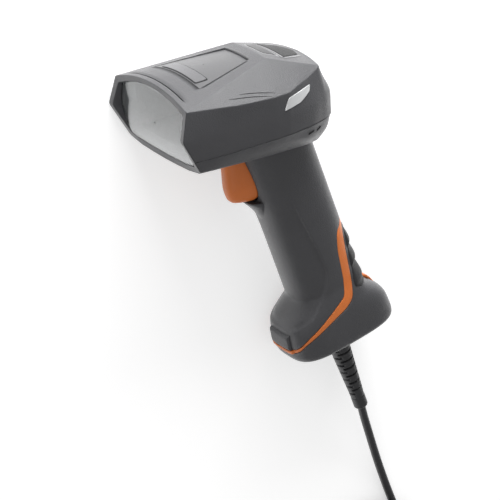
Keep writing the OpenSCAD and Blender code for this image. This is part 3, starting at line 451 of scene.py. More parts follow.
def metal(name, colour, rough):
    """A metal with fine brushed unevenness: metallic 1, roughness moved by stretched noise."""
    tree, shader = new_material(name)
    shader.inputs["Metallic"].default_value = 1.0
    place = add(tree, "TexCoord").outputs["Object"]
    drawn = add(tree, "Mapping", {"Scale": (200.0, 2600.0, 2600.0)}, {"Vector": place})
    brush = add(tree, "TexNoise", {"Scale": 1.0, "Detail": 3.0}, {"Vector": drawn.outputs["Vector"]})
    gloss = add(tree, "MapRange", {"To Min": rough - 0.08, "To Max": rough + 0.1},
                {"Value": brush.outputs["Fac"]})
    tint = add(tree, "ValToRGB", links={"Fac": brush.outputs["Fac"]})
    for stop, share in zip(tint.color_ramp.elements, (0.85, 1.0)):
        stop.color = [c * share for c in colour] + [1.0]
    bump = add(tree, "Bump", {"Strength": 0.15, "Distance": 0.0001}, {"Height": brush.outputs["Fac"]})
    tree.links.new(gloss.outputs["Result"], shader.inputs["Roughness"])
    tree.links.new(tint.outputs["Color"], shader.inputs["Base Color"])
    tree.links.new(bump.outputs["Normal"], shader.inputs["Normal"])


def clear(name, colour, rough, transmission, ior=1.49):
    """A clear or smoky moulding: plain transmission and ior, with small marks in its roughness."""
    tree, shader = new_material(name)
    shader.inputs["Base Color"].default_value = tuple(colour) + (1.0,)
    shader.inputs["Transmission Weight"].default_value = transmission
    shader.inputs["IOR"].default_value = ior
    marks = use(tree, handling, Patches=90.0)
    gloss = add(tree, "MapRange", {"From Min": 0.3, "From Max": 0.8, "To Min": rough, "To Max": rough + 0.05},
                {"Value": marks.outputs["Cloud"]})
    tree.links.new(gloss.outputs["Result"], shader.inputs["Roughness"])


# %% [markdown]
# ## The finishes of this scanner
#
# Written as linear colour values. The shell is a charcoal plastic with a fine
# grain that gives broad soft highlights. The orange is the same plastic with
# another dye. The pad is soft rubber, nearly black and matt, and the bumper's
# rubber is as grey as the shell.

# %% The finishes
# edge sets how much paler the sharp edges are: part wear, part painted highlight.
moulded("shell_plastic", (0.062, 0.062, 0.067), 0.40, 0.04, 0.32, edge=0.45, dust=0.03)
moulded("inlay_plastic", (0.056, 0.056, 0.060), 0.36, 0.03, 0.14, edge=0.4, Coat_Weight=0.2,
        Coat_Roughness=0.25)
moulded("plate_plastic", (0.085, 0.085, 0.091), 0.30, 0.03, 0.10, edge=0.4)
moulded("orange_plastic", (0.72, 0.185, 0.034), 0.42, 0.04, 0.28, edge=0.3)
moulded("soft_rubber", (0.020, 0.020, 0.022), 0.58, 0.05, 0.45, 1600.0, edge=0.25, dust=0.05)
moulded("bumper_rubber", (0.052, 0.052, 0.056), 0.50, 0.05, 0.4, 1800.0, edge=0.3, dust=0.03)
moulded("cord_jacket", (0.024, 0.024, 0.026), 0.46, 0.05, 0.3, 1500.0, dust=0.04)
moulded("horn_plastic", (0.20, 0.20, 0.198), 0.60, 0.05, 0.6, 900.0, mottled=0.25, dust=0.08)
moulded("inner_plastic", (0.008, 0.008, 0.009), 0.60, 0.05, 0.3, Specular_IOR_Level=0.15)
moulded("light_grey", (0.26, 0.26, 0.265), 0.50, 0.04, 0.1, Specular_IOR_Level=0.2)
moulded("smoky_glass", (0.02, 0.02, 0.022), 0.35, 0.03, 0.05, Specular_IOR_Level=0.15)
moulded("deck_black", (0.012, 0.012, 0.013), 0.45, 0.03, 0.2, Specular_IOR_Level=0.12)
moulded("circuit_board", (0.015, 0.10, 0.045), 0.32, 0.05, 0.3, 700.0)
moulded("ribbon_film", (0.50, 0.26, 0.06), 0.28, 0.04, 0.1)
moulded("led_yellow", (0.85, 0.72, 0.22), 0.35, 0.04, 0.1)
metal("tinned_steel", (0.74, 0.75, 0.76), 0.28)
metal("screw_steel", (0.42, 0.43, 0.45), 0.32)
clear("window_clear", (0.80, 0.82, 0.83), 0.03, 1.0)
clear("lens_clear", (0.88, 0.89, 0.90), 0.10, 0.35)
clear("lens_glass", (0.75, 0.80, 0.95), 0.02, 1.0, 1.7)


def finish(thing, slot, look=None):
    """Gives a piece the finish of the record's slot that it stands for, or another one as look."""
    thing.data.materials.clear()
    thing.data.materials.append(FINISH[look or slot])


def dressed(name, parts, slot, *nodes, look=None, **how):
    """A piece with its finish; nodes are the solids that it stands for."""
    thing = piece(name, parts, **how)
    finish(thing, slot, look)
    if nodes:
        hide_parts(*nodes)


finish(cord, "cord_jacket")
print("finishes", len(FINISH))

# %% [markdown]
# ## The head: one net for the cover, one for the chin
#
# The cover is a faceted moulding: a roof between two ridges, a narrow cheek
# outside each ridge, a side wall below the waist line and a rear wall. Its net
# runs in stations from the reading window round to the middle of the back, and
# each station climbs from the seam over the wall to the middle of the roof.
# The rear stations come forward over the sloping rear deck, so one net covers
# everything and every crease of the real part is one line of it.

# %% Heights of the roof
RIM_Y, FOLD_Y, CREST_Y = 3.4, 65.7, 98.3


def roof_height(x, y):
    """Front roof: an edge that rises in a straight line from 179.8 to 192.8 and a crown over it, a parabola
    that falls from 6.6 to 1 mm. Behind the fold the deck's edge falls to 185 and its crown grows to 2."""
    s = np.clip((y - RIM_Y) / (FOLD_Y - RIM_Y), -0.1, 1)
    r = np.clip((y - FOLD_Y) / (CREST_Y - 1.8 - FOLD_Y), 0, 1.1)
    ridge = np.where(y < FOLD_Y, 36 - 19.5 * s, 16.5 + 7.5 * r)
    edge = np.where(y < FOLD_Y, 179.8 + 13.0 * s, 192.8 - 7.8 * r)
    crown = np.where(y < FOLD_Y, 6.6 - 5.6 * s, 1.0 + 1.0 * r)
    return edge + crown * (1 - (x / ridge) ** 2)


def seam_height(y):
    """Height of the joint between cover and chin: level at the back and lower towards the front."""
    return np.interp(y, [-20, 30, 62, 88, 140], [150.0, 152.0, 154.5, 155.5, 155.5])


# %% Key points of the cover, station by station
FRONT = 3.65  # y of the roof's front edge
cover_low = [  # seam, widest line, waist: [x, y, z] with the seam's height filled in
    [(36.7, 7.95, 0), (38.0, 0.25, 164.0), (36.05, FRONT, 179.72)],
    [(37.4, 20, 0), (37.95, 20, 165.0), (37.0, 20, 179.0)],
    [(37.4, 35.5, 0), (37.95, 35.5, 164.8), (37.9, 35.5, 178.2)],
    [(37.5, 58.5, 0), (37.95, 58.5, 164.8), (37.6, 58.5, 178.05)],
    [(36.9, 68.6, 0), (37.2, 68.6, 165.0), (36.0, 68.6, 178.3)],
    [(35.2, 78, 0), (35.6, 78, 165.6), (32.0, 78, 180.3)],
    [(32.7, 88, 0), (33.0, 88, 166.0), (28.0, 87.2, 181.9)],
    [(27.8, 99, 0), (28.0, 99, 166.5), (24.2, 96.2, 184.8)],
    [(22.9, 106, 0), (22.3, 105.4, 169.5), (20.0, 96.9, 185.5)],
    [(11.0, 109.4, 0), (11.0, 109.1, 170.0), (10.5, 97.9, 186.6)],
    [(0.0, 110.0, 0), (0.0, 109.8, 170.0), (0.0, 98.3, 187.0)],
]
roof_line = [  # ridge, panel edge, middle: [x, y] on the roof
    [(35.75, FRONT), (26.95, FRONT), (0, FRONT)],
    [(30.8, 20), (22.5, 20), (0, 20)],
    [(25.95, 35.5), (18.27, 35.5), (0, 35.5)],
    [(18.75, 58.5), (12.0, 58.5), (0, 58.5)],
    [(16.5, 65.7), (10.0, 65.7), (0, 65.7)],
    [(19.5, 78), (11.5, 77), (0, 75)],
    [(21.7, 87.2), (13.0, 84.5), (0, 81)],
    [(23.2, 94.6), (14.0, 89.5), (0, 84.5)],
    [(18.6, 95.2), (11.0, 90.2), (0, 86)],
    [(10.0, 96.2), (6.0, 91.2), (0, 87.2)],
    [(0.0, 96.6), (0.0, 91.8), (0, 88.2)],
]
stations = []
for low, top in zip(cover_low, roof_line):
    low = np.array(low, float)
    low[0, 2] = seam_height(low[0, 1]) + 0.17 + 0.25 * smooth_step(low[0, 1], 60, 100)
    top = np.array(top, float)
    share = np.array([0.8, 0.6, 0.4, 0.2])[:, None]
    flat = np.concatenate([top[:2], top[2] + share * (top[1] - top[2]), top[2:]])
    high = np.column_stack([flat, roof_height(flat[:, 0], flat[:, 1])])
    stations.append(np.concatenate([low, high]))
cover_keys = np.array(stations)

# Four more stations close together carry the narrow groove across the front of the roof.
GROOVE_Y = 7.2
share = (GROOVE_Y + np.array([-0.42, -0.28, 0.28, 0.42]) - FRONT) / (20 - FRONT)
groove_keys = cover_keys[0] + share[:, None, None] * (cover_keys[1] - cover_keys[0])
groove_keys[:, 3:, 2] = roof_height(groove_keys[:, 3:, 0], groove_keys[:, 3:, 1])
cover_keys = np.concatenate([cover_keys[:1], groove_keys, cover_keys[1:]])
print("cover net", cover_keys.shape)

# %% Inner edges of the cover: at the seam and at the bezel the skin turns inwards
def turned_in(edge, centre, depth):
    """Points of an edge moved by depth towards a line or point: edge + depth * unit(centre - edge)."""
    way = centre - edge
    return edge + depth * way / np.linalg.norm(way, axis=-1, keepdims=True)


def with_lips(keys):
    """Key points with the lips of a head shell: 1.6 mm at the seam, before the first column, and 1.4 mm at
    the bezel, before the first row."""
    edge = keys[:, 0]
    centre = np.column_stack([edge[:, 0] * 0, np.minimum(edge[:, 1], 62), edge[:, 2]])
    keys = np.concatenate([turned_in(edge, centre, 1.6)[:, None], keys], axis=1)
    edge = keys[0]
    centre = np.column_stack([edge[:, 0] * 0, edge[:, 1], edge[:, 0] * 0 + 160])
    return np.concatenate([turned_in(edge, centre, 1.4)[None], keys], axis=0)


cover_keys = with_lips(cover_keys)
station_reach = np.array([0, 0.25, 0, 0, 0, 0, 0, 4, 0, 0.8, 4, 4, 3, 4, 5, 0], float)
level_reach = np.array([0, 0.25, 3.0, 0.5, 0.5, 0, 0, 0, 0, 0, 0], float)
print("with lips", cover_keys.shape)


# %% Rounding with the places of the key lines
def key_index(count, reach, arc, straight):
    """Where each unrounded key lands in a list made by rounded()."""
    places, at = [], 0
    for i in range(count - 1):
        places.append(at)
        soft = i < count - 2 and reach[i + 1] > 0
        at += straight + 1 if (soft or i == count - 2) else straight
        at += arc - 1 if soft else 0
    places.append(at - 1)
    return places


half = net(cover_keys, station_reach, level_reach, arc=6, straight=4, column_straight=4)
rows_at = key_index(len(station_reach), station_reach, 6, 4)
cols_at = key_index(len(level_reach), level_reach, 6, 4)
in_groove = 1 - smooth_step(np.abs(half[..., 1] - GROOVE_Y), 0.28, 0.42)
half[..., 2] -= 0.8 * in_groove * (1 - smooth_step(half[..., 0], 26.5, 27.7))
print("half net", half.shape, "rows at", rows_at, "columns at", cols_at)

# %% The cover: left and right half, with the hole for the inset panel
PANEL_ROWS = (rows_at[6], rows_at[8])
PANEL_COLUMN = cols_at[5]


def both_halves(grid, keep=None):
    """The half net and its mirror image, whose faces run the other way round so that all point outwards."""
    faces = grid_faces(*grid.shape[:2], keep=keep)
    return [(grid, faces), (grid * np.array([-1.0, 1, 1]), faces[:, ::-1])]


def hole_mask(shape, row_range, column_range):
    """Quads of a grid that stay when those between two rows and two columns are cut out."""
    keep = np.ones((shape[0] - 1, shape[1] - 1), bool)
    keep[row_range[0]:row_range[1], column_range[0]:column_range[1]] = False
    return keep


def panel_frame(grid, depth=1.3, soft=0.35):
    """Wall round the hole: the hole's edge in the half net, carried inwards a little and then down."""
    r0, r1, c0 = PANEL_ROWS[0], PANEL_ROWS[1], PANEL_COLUMN
    edge = np.concatenate([grid[r0, :c0 - 1:-1], grid[r0:r1 + 1, c0], grid[r1, c0:]])
    centre = np.array([0.0, 39.0, 0.0])
    way = (centre - edge) * np.array([1.0, 1.0, 0.0])
    way /= np.linalg.norm(way, axis=1, keepdims=True)
    down = np.array([0.0, 0.0, 1.0])
    steps = [(0, 0), (0.3 * soft, 0.06 * soft), (0.7 * soft, 0.3 * soft), (soft, soft), (soft, depth)]
    return np.stack([edge + way * a - down * b for a, b in steps])


cover_parts = both_halves(half, hole_mask(half.shape, PANEL_ROWS, (PANEL_COLUMN, half.shape[1] - 1)))
cover_parts += both_halves(panel_frame(half))
dressed("cover", cover_parts, "shell_plastic", "head_cover", outward=(0, 60, 150))

# %% [markdown]
# ## The chin
#
# The lower half of the head uses the same stations. It narrows towards the
# grip, and its floor has a bay in which the trigger swings, so the quads of
# the bay are left out and a short wall leads upwards from its edge.

# %% Key points of the chin
chin_rows = np.array([  # seam: x, y; lower wall, lower edge, floor, edge of the bay, middle: x, y, z
    [36.65, 8.2, 36.35, 10.4, 147.2, 36.0, 12.45, 143.8, 24, 12.45, 142.1, 10.8, 12.45, 141.6,
     0, 12.45, 141.4],
    [37.4, 20, 36.5, 21, 147.4, 35.2, 22, 143.5, 23.5, 22, 142.0, 10.8, 22, 141.4, 0, 22, 141.3],
    [37.4, 35.5, 36.1, 35.5, 148.8, 33.5, 35.5, 143.1, 22.4, 35.5, 141.6, 10.8, 35.5, 141.1, 0, 35.5, 141],
    [37.5, 46.4, 35.9, 46.4, 148.7, 32.3, 46.4, 142.7, 21, 46.4, 141.3, 10.8, 46.4, 140.8, 0, 46.4, 140.7],
    [37.5, 58.5, 35.5, 58.5, 148.5, 30.8, 58.5, 142.3, 19.5, 58.5, 141, 10.8, 58.5, 140.5, 0, 58.5, 140.4],
    [36.9, 68.6, 34.4, 68.6, 148.3, 29.2, 68.6, 142, 18, 68.6, 140.6, 10.8, 68.6, 140.2, 0, 68.6, 140.1],
    [35.2, 78, 32.9, 78, 148, 26.9, 78, 141.5, 16, 77, 140.3, 9.5, 76.5, 140, 0, 76, 139.9],
    [32.6, 88, 31.0, 88.4, 147.8, 25.2, 88.2, 141.2, 13, 84.5, 140, 8, 83, 139.9, 0, 82, 139.8],
    [27.5, 98.8, 26.3, 97.9, 147.9, 22.2, 96.6, 141.0, 10.5, 89.5, 139.8, 6, 87.5, 139.75, 0, 86, 139.7],
    [22.5, 105.6, 21.6, 104.6, 147.9, 17.4, 101.4, 140.8, 8, 92, 139.7, 4.5, 90, 139.66, 0, 88, 139.65],
    [10.9, 108.9, 10.7, 107.4, 147.9, 8.6, 102.4, 140.4, 4, 94, 139.6, 2, 92, 139.6, 0, 90, 139.6],
    [0, 109.4, 0, 107.9, 148, 0, 102.8, 140.3, 0, 95, 139.5, 0, 93, 139.5, 0, 91.5, 139.5],
])
chin_keys = np.insert(chin_rows, 2, seam_height(chin_rows[:, 1]), axis=1).reshape(-1, 6, 3)
chin_keys = with_lips(chin_keys)
chin_row_reach = np.array([0, 0.25, 0, 5, 0, 5, 5, 4, 4, 3, 4, 5, 0], float)
chin_level_reach = np.array([0, 0.25, 3.0, 2.2, 6.0, 0, 0], float)
chin_half = net(chin_keys, chin_row_reach, chin_level_reach, arc=6, straight=4, column_straight=4)
chin_rows_at = key_index(13, chin_row_reach, 6, 4)
chin_cols_at = key_index(7, chin_level_reach, 6, 4)
bay = (chin_rows_at[4], chin_rows_at[6] + 3)
bay_column = chin_cols_at[5]
chin_parts = both_halves(chin_half, hole_mask(chin_half.shape, bay, (bay_column, chin_half.shape[1] - 1)))
bay_edge = np.concatenate([chin_half[bay[0], :bay_column - 1:-1], chin_half[bay[0]:bay[1] + 1, bay_column]])
bay_wall = np.stack([bay_edge + np.array([0, 0, h]) for h in (0.0, 1.5, 6.0)])
chin_parts += both_halves(bay_wall)
dressed("chin", chin_parts, "shell_plastic", "chin_shell", outward=(0, 60, 152))
print("bay rows", bay, "column", bay_column)

# %% [markdown]
# ## The bezel round the reading window
#
# A separate frame is pushed into the mouth of the head. Its rim is not flat:
# seen from the side it comes forward to a beak near the middle. Six loops of
# key points make it: two for the joint with the cover, the outer and the inner
# rim, and two for the sleeve that goes back to the window.

# %% Loops of the bezel
def rim_depth(z):
    """The rim's line in side view: y = 3.4 above 179.8, forward to 0 at 164 and back to 12.2 at 143.8."""
    return np.interp(z, [143.8, 164.0, 179.8, 190], [12.2, 0.0, 3.4, 3.4])


def rim_loop(inset, back):
    """Key points of one loop, from the middle of the roof round to the middle of the floor: the opening's
    outline set in by inset mm and moved back by back mm from the rim's own line."""
    x = (36 - inset) * np.array([0, 0.25, 0.5, 0.75, 0.915, 1])
    top = np.column_stack([x, x * 0, 179.8 - 0.9 * inset + 6.6 * (1 - (x / (36 - inset)) ** 2)])
    side = [[38 - inset, 0, 164.0], [36 - inset, 0, 143.8 + inset]]
    floor = [[24 - 0.3 * inset, 0, 142.1 + inset], [12, 0, 141.6 + inset], [0, 0, 141.4 + inset]]
    loop = np.concatenate([top, side, floor])
    loop[:, 1] = rim_depth(loop[:, 2]) + back
    return loop


joint_loop = rim_loop(0.0, 0.12)
joint_centre = np.column_stack([joint_loop[:, 0] * 0, joint_loop[:, 1], joint_loop[:, 0] * 0 + 160])
loops = np.stack([
    turned_in(joint_loop, joint_centre, 1.4), joint_loop, rim_loop(0.0, 0.0), rim_loop(3.3, 0.35),
    rim_loop(3.6, 2.5), rim_loop(3.7, 8.5),
])
loop_reach = np.array([0, 0, 0, 0, 0, 0.7, 1.6, 2.2, 0, 0, 0], float)
bezel_grid = rounded(loops, np.array([0, 0.05, 0.35, 0.5, 0.5, 0]), 6, 3)
bezel_grid = rounded(bezel_grid.transpose(1, 0, 2), loop_reach, 6, 4)
dressed("bezel", both_halves(bezel_grid), "shell_plastic", "front_bezel", outward=(0, 20, 163))

# %% [markdown]
# ## Window and light horn
#
# Behind the bezel sits a clear window that is bent in one direction only, like
# a bent sheet: its front is the same curve at every height of the section.
# Behind it the horn, a light grey funnel, spreads the light of the lamps. Its
# three loops go from the mouth to the lamp board.

# %% Window
def window_front(z):
    """Side view of the window: a quadratic curve from a set-back of 7.4 at the top to 13.4 at the bottom,
    drawn forwards between them by a control value of 1.4."""
    s = (188.4 - z) / 47.4
    return (1 - s) ** 2 * 7.4 + 2 * s * (1 - s) * 1.4 + s**2 * 13.4


def window_sheet(inset, back):
    """The opening's outline filled by shrinking loops, each laid on the window's curve."""
    loop = rounded(rim_loop(inset, 0.0), loop_reach, 6, 4)
    whole = np.concatenate([loop, loop[-2:0:-1] * np.array([-1.0, 1, 1])])
    centre = np.array([0.0, 0.0, 163.0])
    share = np.array([1.0, 0.985, 0.95, 0.85, 0.7, 0.5, 0.3, 0.12, 0.02])[:, None, None]
    sheet = centre + share * (whole - centre)
    sheet[..., 1] = window_front(sheet[..., 2]) + back
    return sheet


WINDOW_INSET, WINDOW_T = 3.75, 1.6
pane = np.concatenate([window_sheet(WINDOW_INSET, WINDOW_T)[::-1], window_sheet(WINDOW_INSET, 0.0)])
dressed("window", [looped(pane)], "window_clear", "exit_window", outward=(0, 8, 163))

# %% Horn
def horn_loop(half_top, half_low, top, low, back_top, back_low):
    """A loop with a flat roof and floor: half widths, heights and set-backs at its top and bottom."""
    x = np.array([0, 0.25, 0.5, 0.75, 0.915, 1]) * half_top
    roof = np.column_stack([x, x * 0 + back_top, x * 0 + top])
    halfway = [(half_top + half_low) / 2, (back_top + back_low) / 2, (top + low) / 2]
    floor = [[half_low * share, back_low, low] for share in (1, 0.6, 0.3, 0)]
    return np.concatenate([roof, [halfway], floor])


mouth = rim_loop(3.9, 0.0)
mouth[:, 1] = window_front(mouth[:, 2]) + 1.7
horn_keys = np.stack([mouth, horn_loop(28.0, 29.5, 177.4, 150.4, 11.5, 16.5),
                      horn_loop(15.0, 15.0, 177.0, 161.0, 58.0, 58.0)])
horn_reach = np.array([0, 0, 0, 0, 0, 0.4, 0, 0.4, 0, 0, 0], float)
horn_grid = rounded(rounded(horn_keys, [0, 0.3, 0], 6, 8).transpose(1, 0, 2), horn_reach, 5, 4)
dressed("horn", both_halves(horn_grid), "horn_plastic", "light_horn", outward=(0, 30, 168), flip=True)

# %% [markdown]
# ## Lids: panel, plate, lenses
#
# The flat inlays of the roof and the side are all the same thing, a thin lid
# with a soft rim. Each is made of loops: two low ones for the wall, a few over
# the rounded rim and then shrinking ones over the face, and a function puts
# each point of the outline on the surface that carries the lid.

# %% Lids
def soft_outline(corners, reach, per_side=6):
    """A closed outline with rounded corners from its corner points [u, v]."""
    corners = np.asarray(corners, float)
    middle = (corners + np.roll(corners, -1, axis=0)) / 2
    parts = []
    for i in range(len(corners)):
        keys = np.stack([middle[i - 1], corners[i], middle[i]])
        parts.append(rounded(keys, [0, reach, 0], 8, per_side)[:-1])
    return np.concatenate(parts)


def lid(outline, place, depth=0.8, soft=0.3, lift=0.0):
    """Loops of a lid: wall, rounded rim, face. place(uv, height) gives the 3-D point."""
    centre = outline.mean(axis=0)
    away = outline - centre
    length = np.linalg.norm(away, axis=1, keepdims=True)
    loops = [(0.0, -depth), (0.0, lift - soft)]
    loops += [(soft * (1 - math.cos(a)), lift - soft * (1 - math.sin(a))) for a in np.radians([30, 60, 90])]
    rows = [place(outline - away / length * inwards, height) for inwards, height in loops]
    inner = outline - away / length * soft
    rows += [place(centre + (inner - centre) * s, lift) for s in (0.97, 0.85, 0.6, 0.35, 0.12, 0.015)]
    return np.stack(rows)


def on_roof(lean=0.0):
    """A place function for the roof; lean lowers it by that many mm for each mm behind y = 20."""
    def place(uv, height):
        z = roof_height(uv[:, 0], uv[:, 1]) - lean * (uv[:, 1] - 20) + height
        return np.column_stack([uv, z])
    return place


def dense(outline, step=1.0):
    """Adds points to a closed outline so that no two neighbours are further apart than step mm."""
    following = np.roll(outline, -1, axis=0)
    out = []
    for a, b in zip(outline, following):
        n = max(1, int(np.ceil(np.linalg.norm(b - a) / step)))
        out.append(a + (b - a) * np.arange(n)[:, None] / n)
    return np.concatenate(out)


def both_sides(corners):
    """A symmetric outline from its corners with x of 0 or more."""
    return corners + [(-x, y) for x, y in reversed(corners) if x]


def roof_lid(name, corners, reach, size, slot, *nodes, look=None, lean=0.0, per_side=4, step=0.6):
    """A lid on the roof with size = (depth, soft, lift)."""
    outline = dense(soft_outline(corners, reach, per_side), step)
    below = (0, float(np.mean([y for _x, y in corners])), 178)
    dressed(name, [looped(lid(outline, on_roof(lean), *size))], slot, *nodes, look=look, outward=below)


SINK = math.tan(math.radians(1.1))
on_panel = {"lean": SINK, "per_side": 6, "step": 1.0}
roof_lid("roof_panel", both_sides([(22.0, 20.45), (11.75, 58.1)]), 0.9, (1.0, 0.3, -0.12), "inlay_plastic",
         "top_panel", **on_panel)
# A near-black ring 0.6 mm wider than the plate is painted shade: the dark gap round the raised plate.
roof_lid("plate_shade_ring", both_sides([(17.0, 21.0), (17.0, 29.4)]), 1.4, (0.3, 0.05, -0.03), "inlay_plastic",
         look="inner_plastic", **on_panel)
roof_lid("bare_plate", both_sides([(16.4, 21.6), (16.4, 28.8)]), 1.2, (0.3, 0.2, 0.25), "plate_plastic",
         "blank_plate", **on_panel)

# %% The rear deck: status window in a pale frame, a light bar, and a dark shield between two light strips
roof_lid("status_frame", both_sides([(5.7, 68.1), (9.6, 69.0), (11.7, 74.9), (14.0, 77.3)]), 0.7,
         (0.6, 0.15, 0.10), "lens_clear", look="light_grey")
roof_lid("status_light", both_sides([(5.2, 69.2), (8.7, 69.9), (10.4, 74.4), (11.8, 76.2)]), 0.5,
         (0.6, 0.15, 0.28), "lens_clear", "status_lens", look="smoky_glass")
roof_lid("light_bar", both_sides([(14.0, 77.9), (14.0, 79.1)]), 0.3, (0.6, 0.15, 0.20), "lens_clear",
         look="light_grey")
roof_lid("rear_inlay", both_sides([(13.5, 80.0), (7.7, 92.9), (0.0, 95.2)]), 0.8, (0.6, 0.15, 0.22),
         "soft_rubber", "rear_panel", look="deck_black")
for hand, sign in (("left", 1), ("right", -1)):
    strip = [(sign * x, y) for x, y in ((15.4, 79.2), (14.3, 79.3), (10.0, 92.5), (11.1, 92.9))]
    roof_lid(f"light_strip_{hand}", strip, 0.3, (0.6, 0.15, 0.20), "lens_clear", look="light_grey")


# %% The guide lights in the sides
def local_surface(grid, low, high):
    """x as a full quadratic of (y, z), fitted to the points of a grid inside a window of y and z."""
    points = grid.reshape(-1, 3)
    inside = ((points[:, 1:] > low) & (points[:, 1:] < high)).all(axis=1) & (points[:, 0] > 15)
    y, z = points[inside, 1], points[inside, 2]

    def terms(y, z):
        return np.column_stack([np.ones_like(y), y, z, y * y, y * z, z * z])

    fit = np.linalg.lstsq(terms(y, z), points[inside, 0], rcond=None)[0]
    left = np.abs(terms(y, z) @ fit - points[inside, 0]).max()
    print("fitted", inside.sum(), "points, largest miss", round(float(left), 3))
    return lambda y, z: terms(y, z) @ fit


def on_wall(wall, sign):
    """A place function for a fitted side wall; sign -1 is the scanner's right side."""
    return lambda uv, height: np.column_stack([sign * (wall(uv[:, 0], uv[:, 1]) + height), uv])


side_wall = local_surface(half, (60, 167.5), (90, 178.0))
side_corners = [(85.9, 178.2), (84.6, 175.0), (76.8, 171.2), (64.4, 169.1), (67.7, 175.6)]
side_outline = dense(soft_outline(side_corners, 1.0, 4), 0.8)
for hand, sign in (("left", 1), ("right", -1)):
    grid = lid(side_outline, on_wall(side_wall, sign), 0.9, 0.2, 0.38)
    dressed(f"guide_light_{hand}", [looped(grid)], "lens_clear", f"side_lens_{hand}", outward=(0, 75, 168))

# %% [markdown]
# ## The grip
#
# The grip's section is a superellipse, between an ellipse and a rounded box.
# Down its axis the front, the back and the half width follow smooth curves
# through a few knots, and so the grip, the flare and the foot are one surface.
# Three mouldings share it: the front shell, the orange band and the back shell.
# Each takes, in every column round the grip, the stretch between two curves
# that are drawn in side view. v is measured across the grip from its axis to
# the back, and t along the axis from the head downwards.

# %% The grip's surface
LEAN = math.radians(21)
AXIS_Y, AXIS_Z = 80.7, 136.0  # where the axis starts
HANDLE = 131.5  # t of the sole
grip_table = [  # t, front, back, half width
    [-20, -23.1, 22.1, 17.1], [20, -22.5, 22.3, 17.3], [60, -22.4, 22.4, 17.5], [94, -22.6, 22.5, 17.8],
    [97, -22.8, 22.5, 17.9], [99.5, -25.2, 22.6, 18.4], [102, -28.6, 22.8, 18.9],
    [104.5, -32.0, 22.9, 19.4], [107.5, -34.3, 23.8, 19.8], [110.5, -35.3, 27.0, 20.2],
    [113, -35.8, 29.4, 20.4], [115.6, -36.2, 31.4, 20.6], [118.5, -36.6, 32.7, 20.7],
    [123.5, -36.8, 33.3, 20.65], [127.5, -36.8, 33.3, 20.5], [130.3, -35.2, 32.2, 19.5],
    [131.5, -32.4, 29.4, 16.9],
]


def power(value, exponent):
    """A power that keeps the sign."""
    return np.sign(value) * np.abs(value) ** exponent


def upright(x, v, t):
    """Grip directions to upright millimetres: t runs down the leaning axis and v square to it, backwards."""
    y = AXIS_Y + t * math.sin(LEAN) + v * math.cos(LEAN)
    z = AXIS_Z - t * math.cos(LEAN) + v * math.sin(LEAN)
    return np.stack([x + 0 * v, y, z], axis=-1)


def foot_drop(v, t):
    """How far the foot's planes sink: by 0.11 mm for each mm behind the nose, growing from t = 97.5 on."""
    return 0.11 * (v + 36.8) * np.clip((t - 97.5) / 34, 0, 1)


def section(t):
    """Front, back, half width and superellipse exponent at t."""
    k = knots(grip_table, t)
    return k[..., 0], k[..., 1], k[..., 2], 2.4 + 1.0 * smooth_step(t, 97, 113)


def across_at(a, t):
    """v and x of the section: v = middle - half depth * cos(a)^(2/n), x = half width * sin(a)^(2/n)."""
    front, back, side, n = section(t)
    v = (front + back) / 2 - (back - front) / 2 * power(np.cos(a), 2 / n)
    return v, side * power(np.sin(a), 2 / n)


crease_table = [
    [5, -9.8], [23.7, -8.1], [49.3, -5.4], [68.3, -3.1], [79, -2.6], [84.2, -3.2], [90, -5.4], [95.9, -9.4],
    [100.5, -15.0], [104.3, -21.4], [106.5, -27.5], [107.7, -31.6], [109.5, -40],
]


def crease(v, t):
    """How deep the front part lies below the back part: up to 1.1 mm in front of a curve in side view, with
    a soft step 1.5 mm wide, fading out towards the head and on the foot."""
    edge = knots(crease_table, t)[..., 0]
    slope = (knots(crease_table, t + 0.5)[..., 0] - knots(crease_table, t - 0.5)[..., 0])
    distance = (v - edge) / np.sqrt(1 + slope**2)
    front_part = 1 - smooth_step(distance, -0.9, 0.6)
    return 1.1 * front_part * smooth_step(t, 14, 50) * (1 - smooth_step(t, 107.5, 111))


EYE_V, EYE_T, EYE_R = 26.5, 114.5, 3.6


def grip_at(a, t, lift=0.0):
    """Point of the grip at angle a (0 is the front) and place t, moved outwards by lift. The foot's planes
    sink towards the back, and a round pocket 10 mm wide is sunk in the heel under the lanyard bar."""
    v, x = across_at(a, t)
    lift = lift - crease(v, t)
    drop = foot_drop(v, t)
    front, back, side, n = section(t)
    out_v = -power(np.cos(a), 2 - 2 / n) / (back - front) * 2
    out_x = power(np.sin(a), 2 - 2 / n) / side
    size = np.sqrt(out_v**2 + out_x**2)
    v, x = v + lift * out_v / size, x + lift * out_x / size
    dt = np.abs(t + drop - EYE_T)
    sunk = np.maximum(v - EYE_V + np.sqrt(np.maximum(EYE_R**2 - dt**2, 0)), 0)
    sunk = sunk * smooth_step(EYE_R - dt, 0, 0.5) * (1 - smooth_step(np.abs(x), 4.6, 5.6))
    v = np.where((v > 15) & (lift > -1.0), v - sunk, v)
    return upright(x, v, t + drop)


def edge_place(a, table):
    """For each column the t at which the side view meets a curve t(v), by 40 halvings of the interval."""
    low, high = np.full(a.shape, 20.0), np.full(a.shape, HANDLE)
    for _ in range(40):
        mid = (low + high) / 2
        v, _x = across_at(a, mid)
        above_edge = mid + foot_drop(v, mid) < knots(table, v)[..., 0]
        low, high = np.where(above_edge, mid, low), np.where(above_edge, high, mid)
    return (low + high) / 2


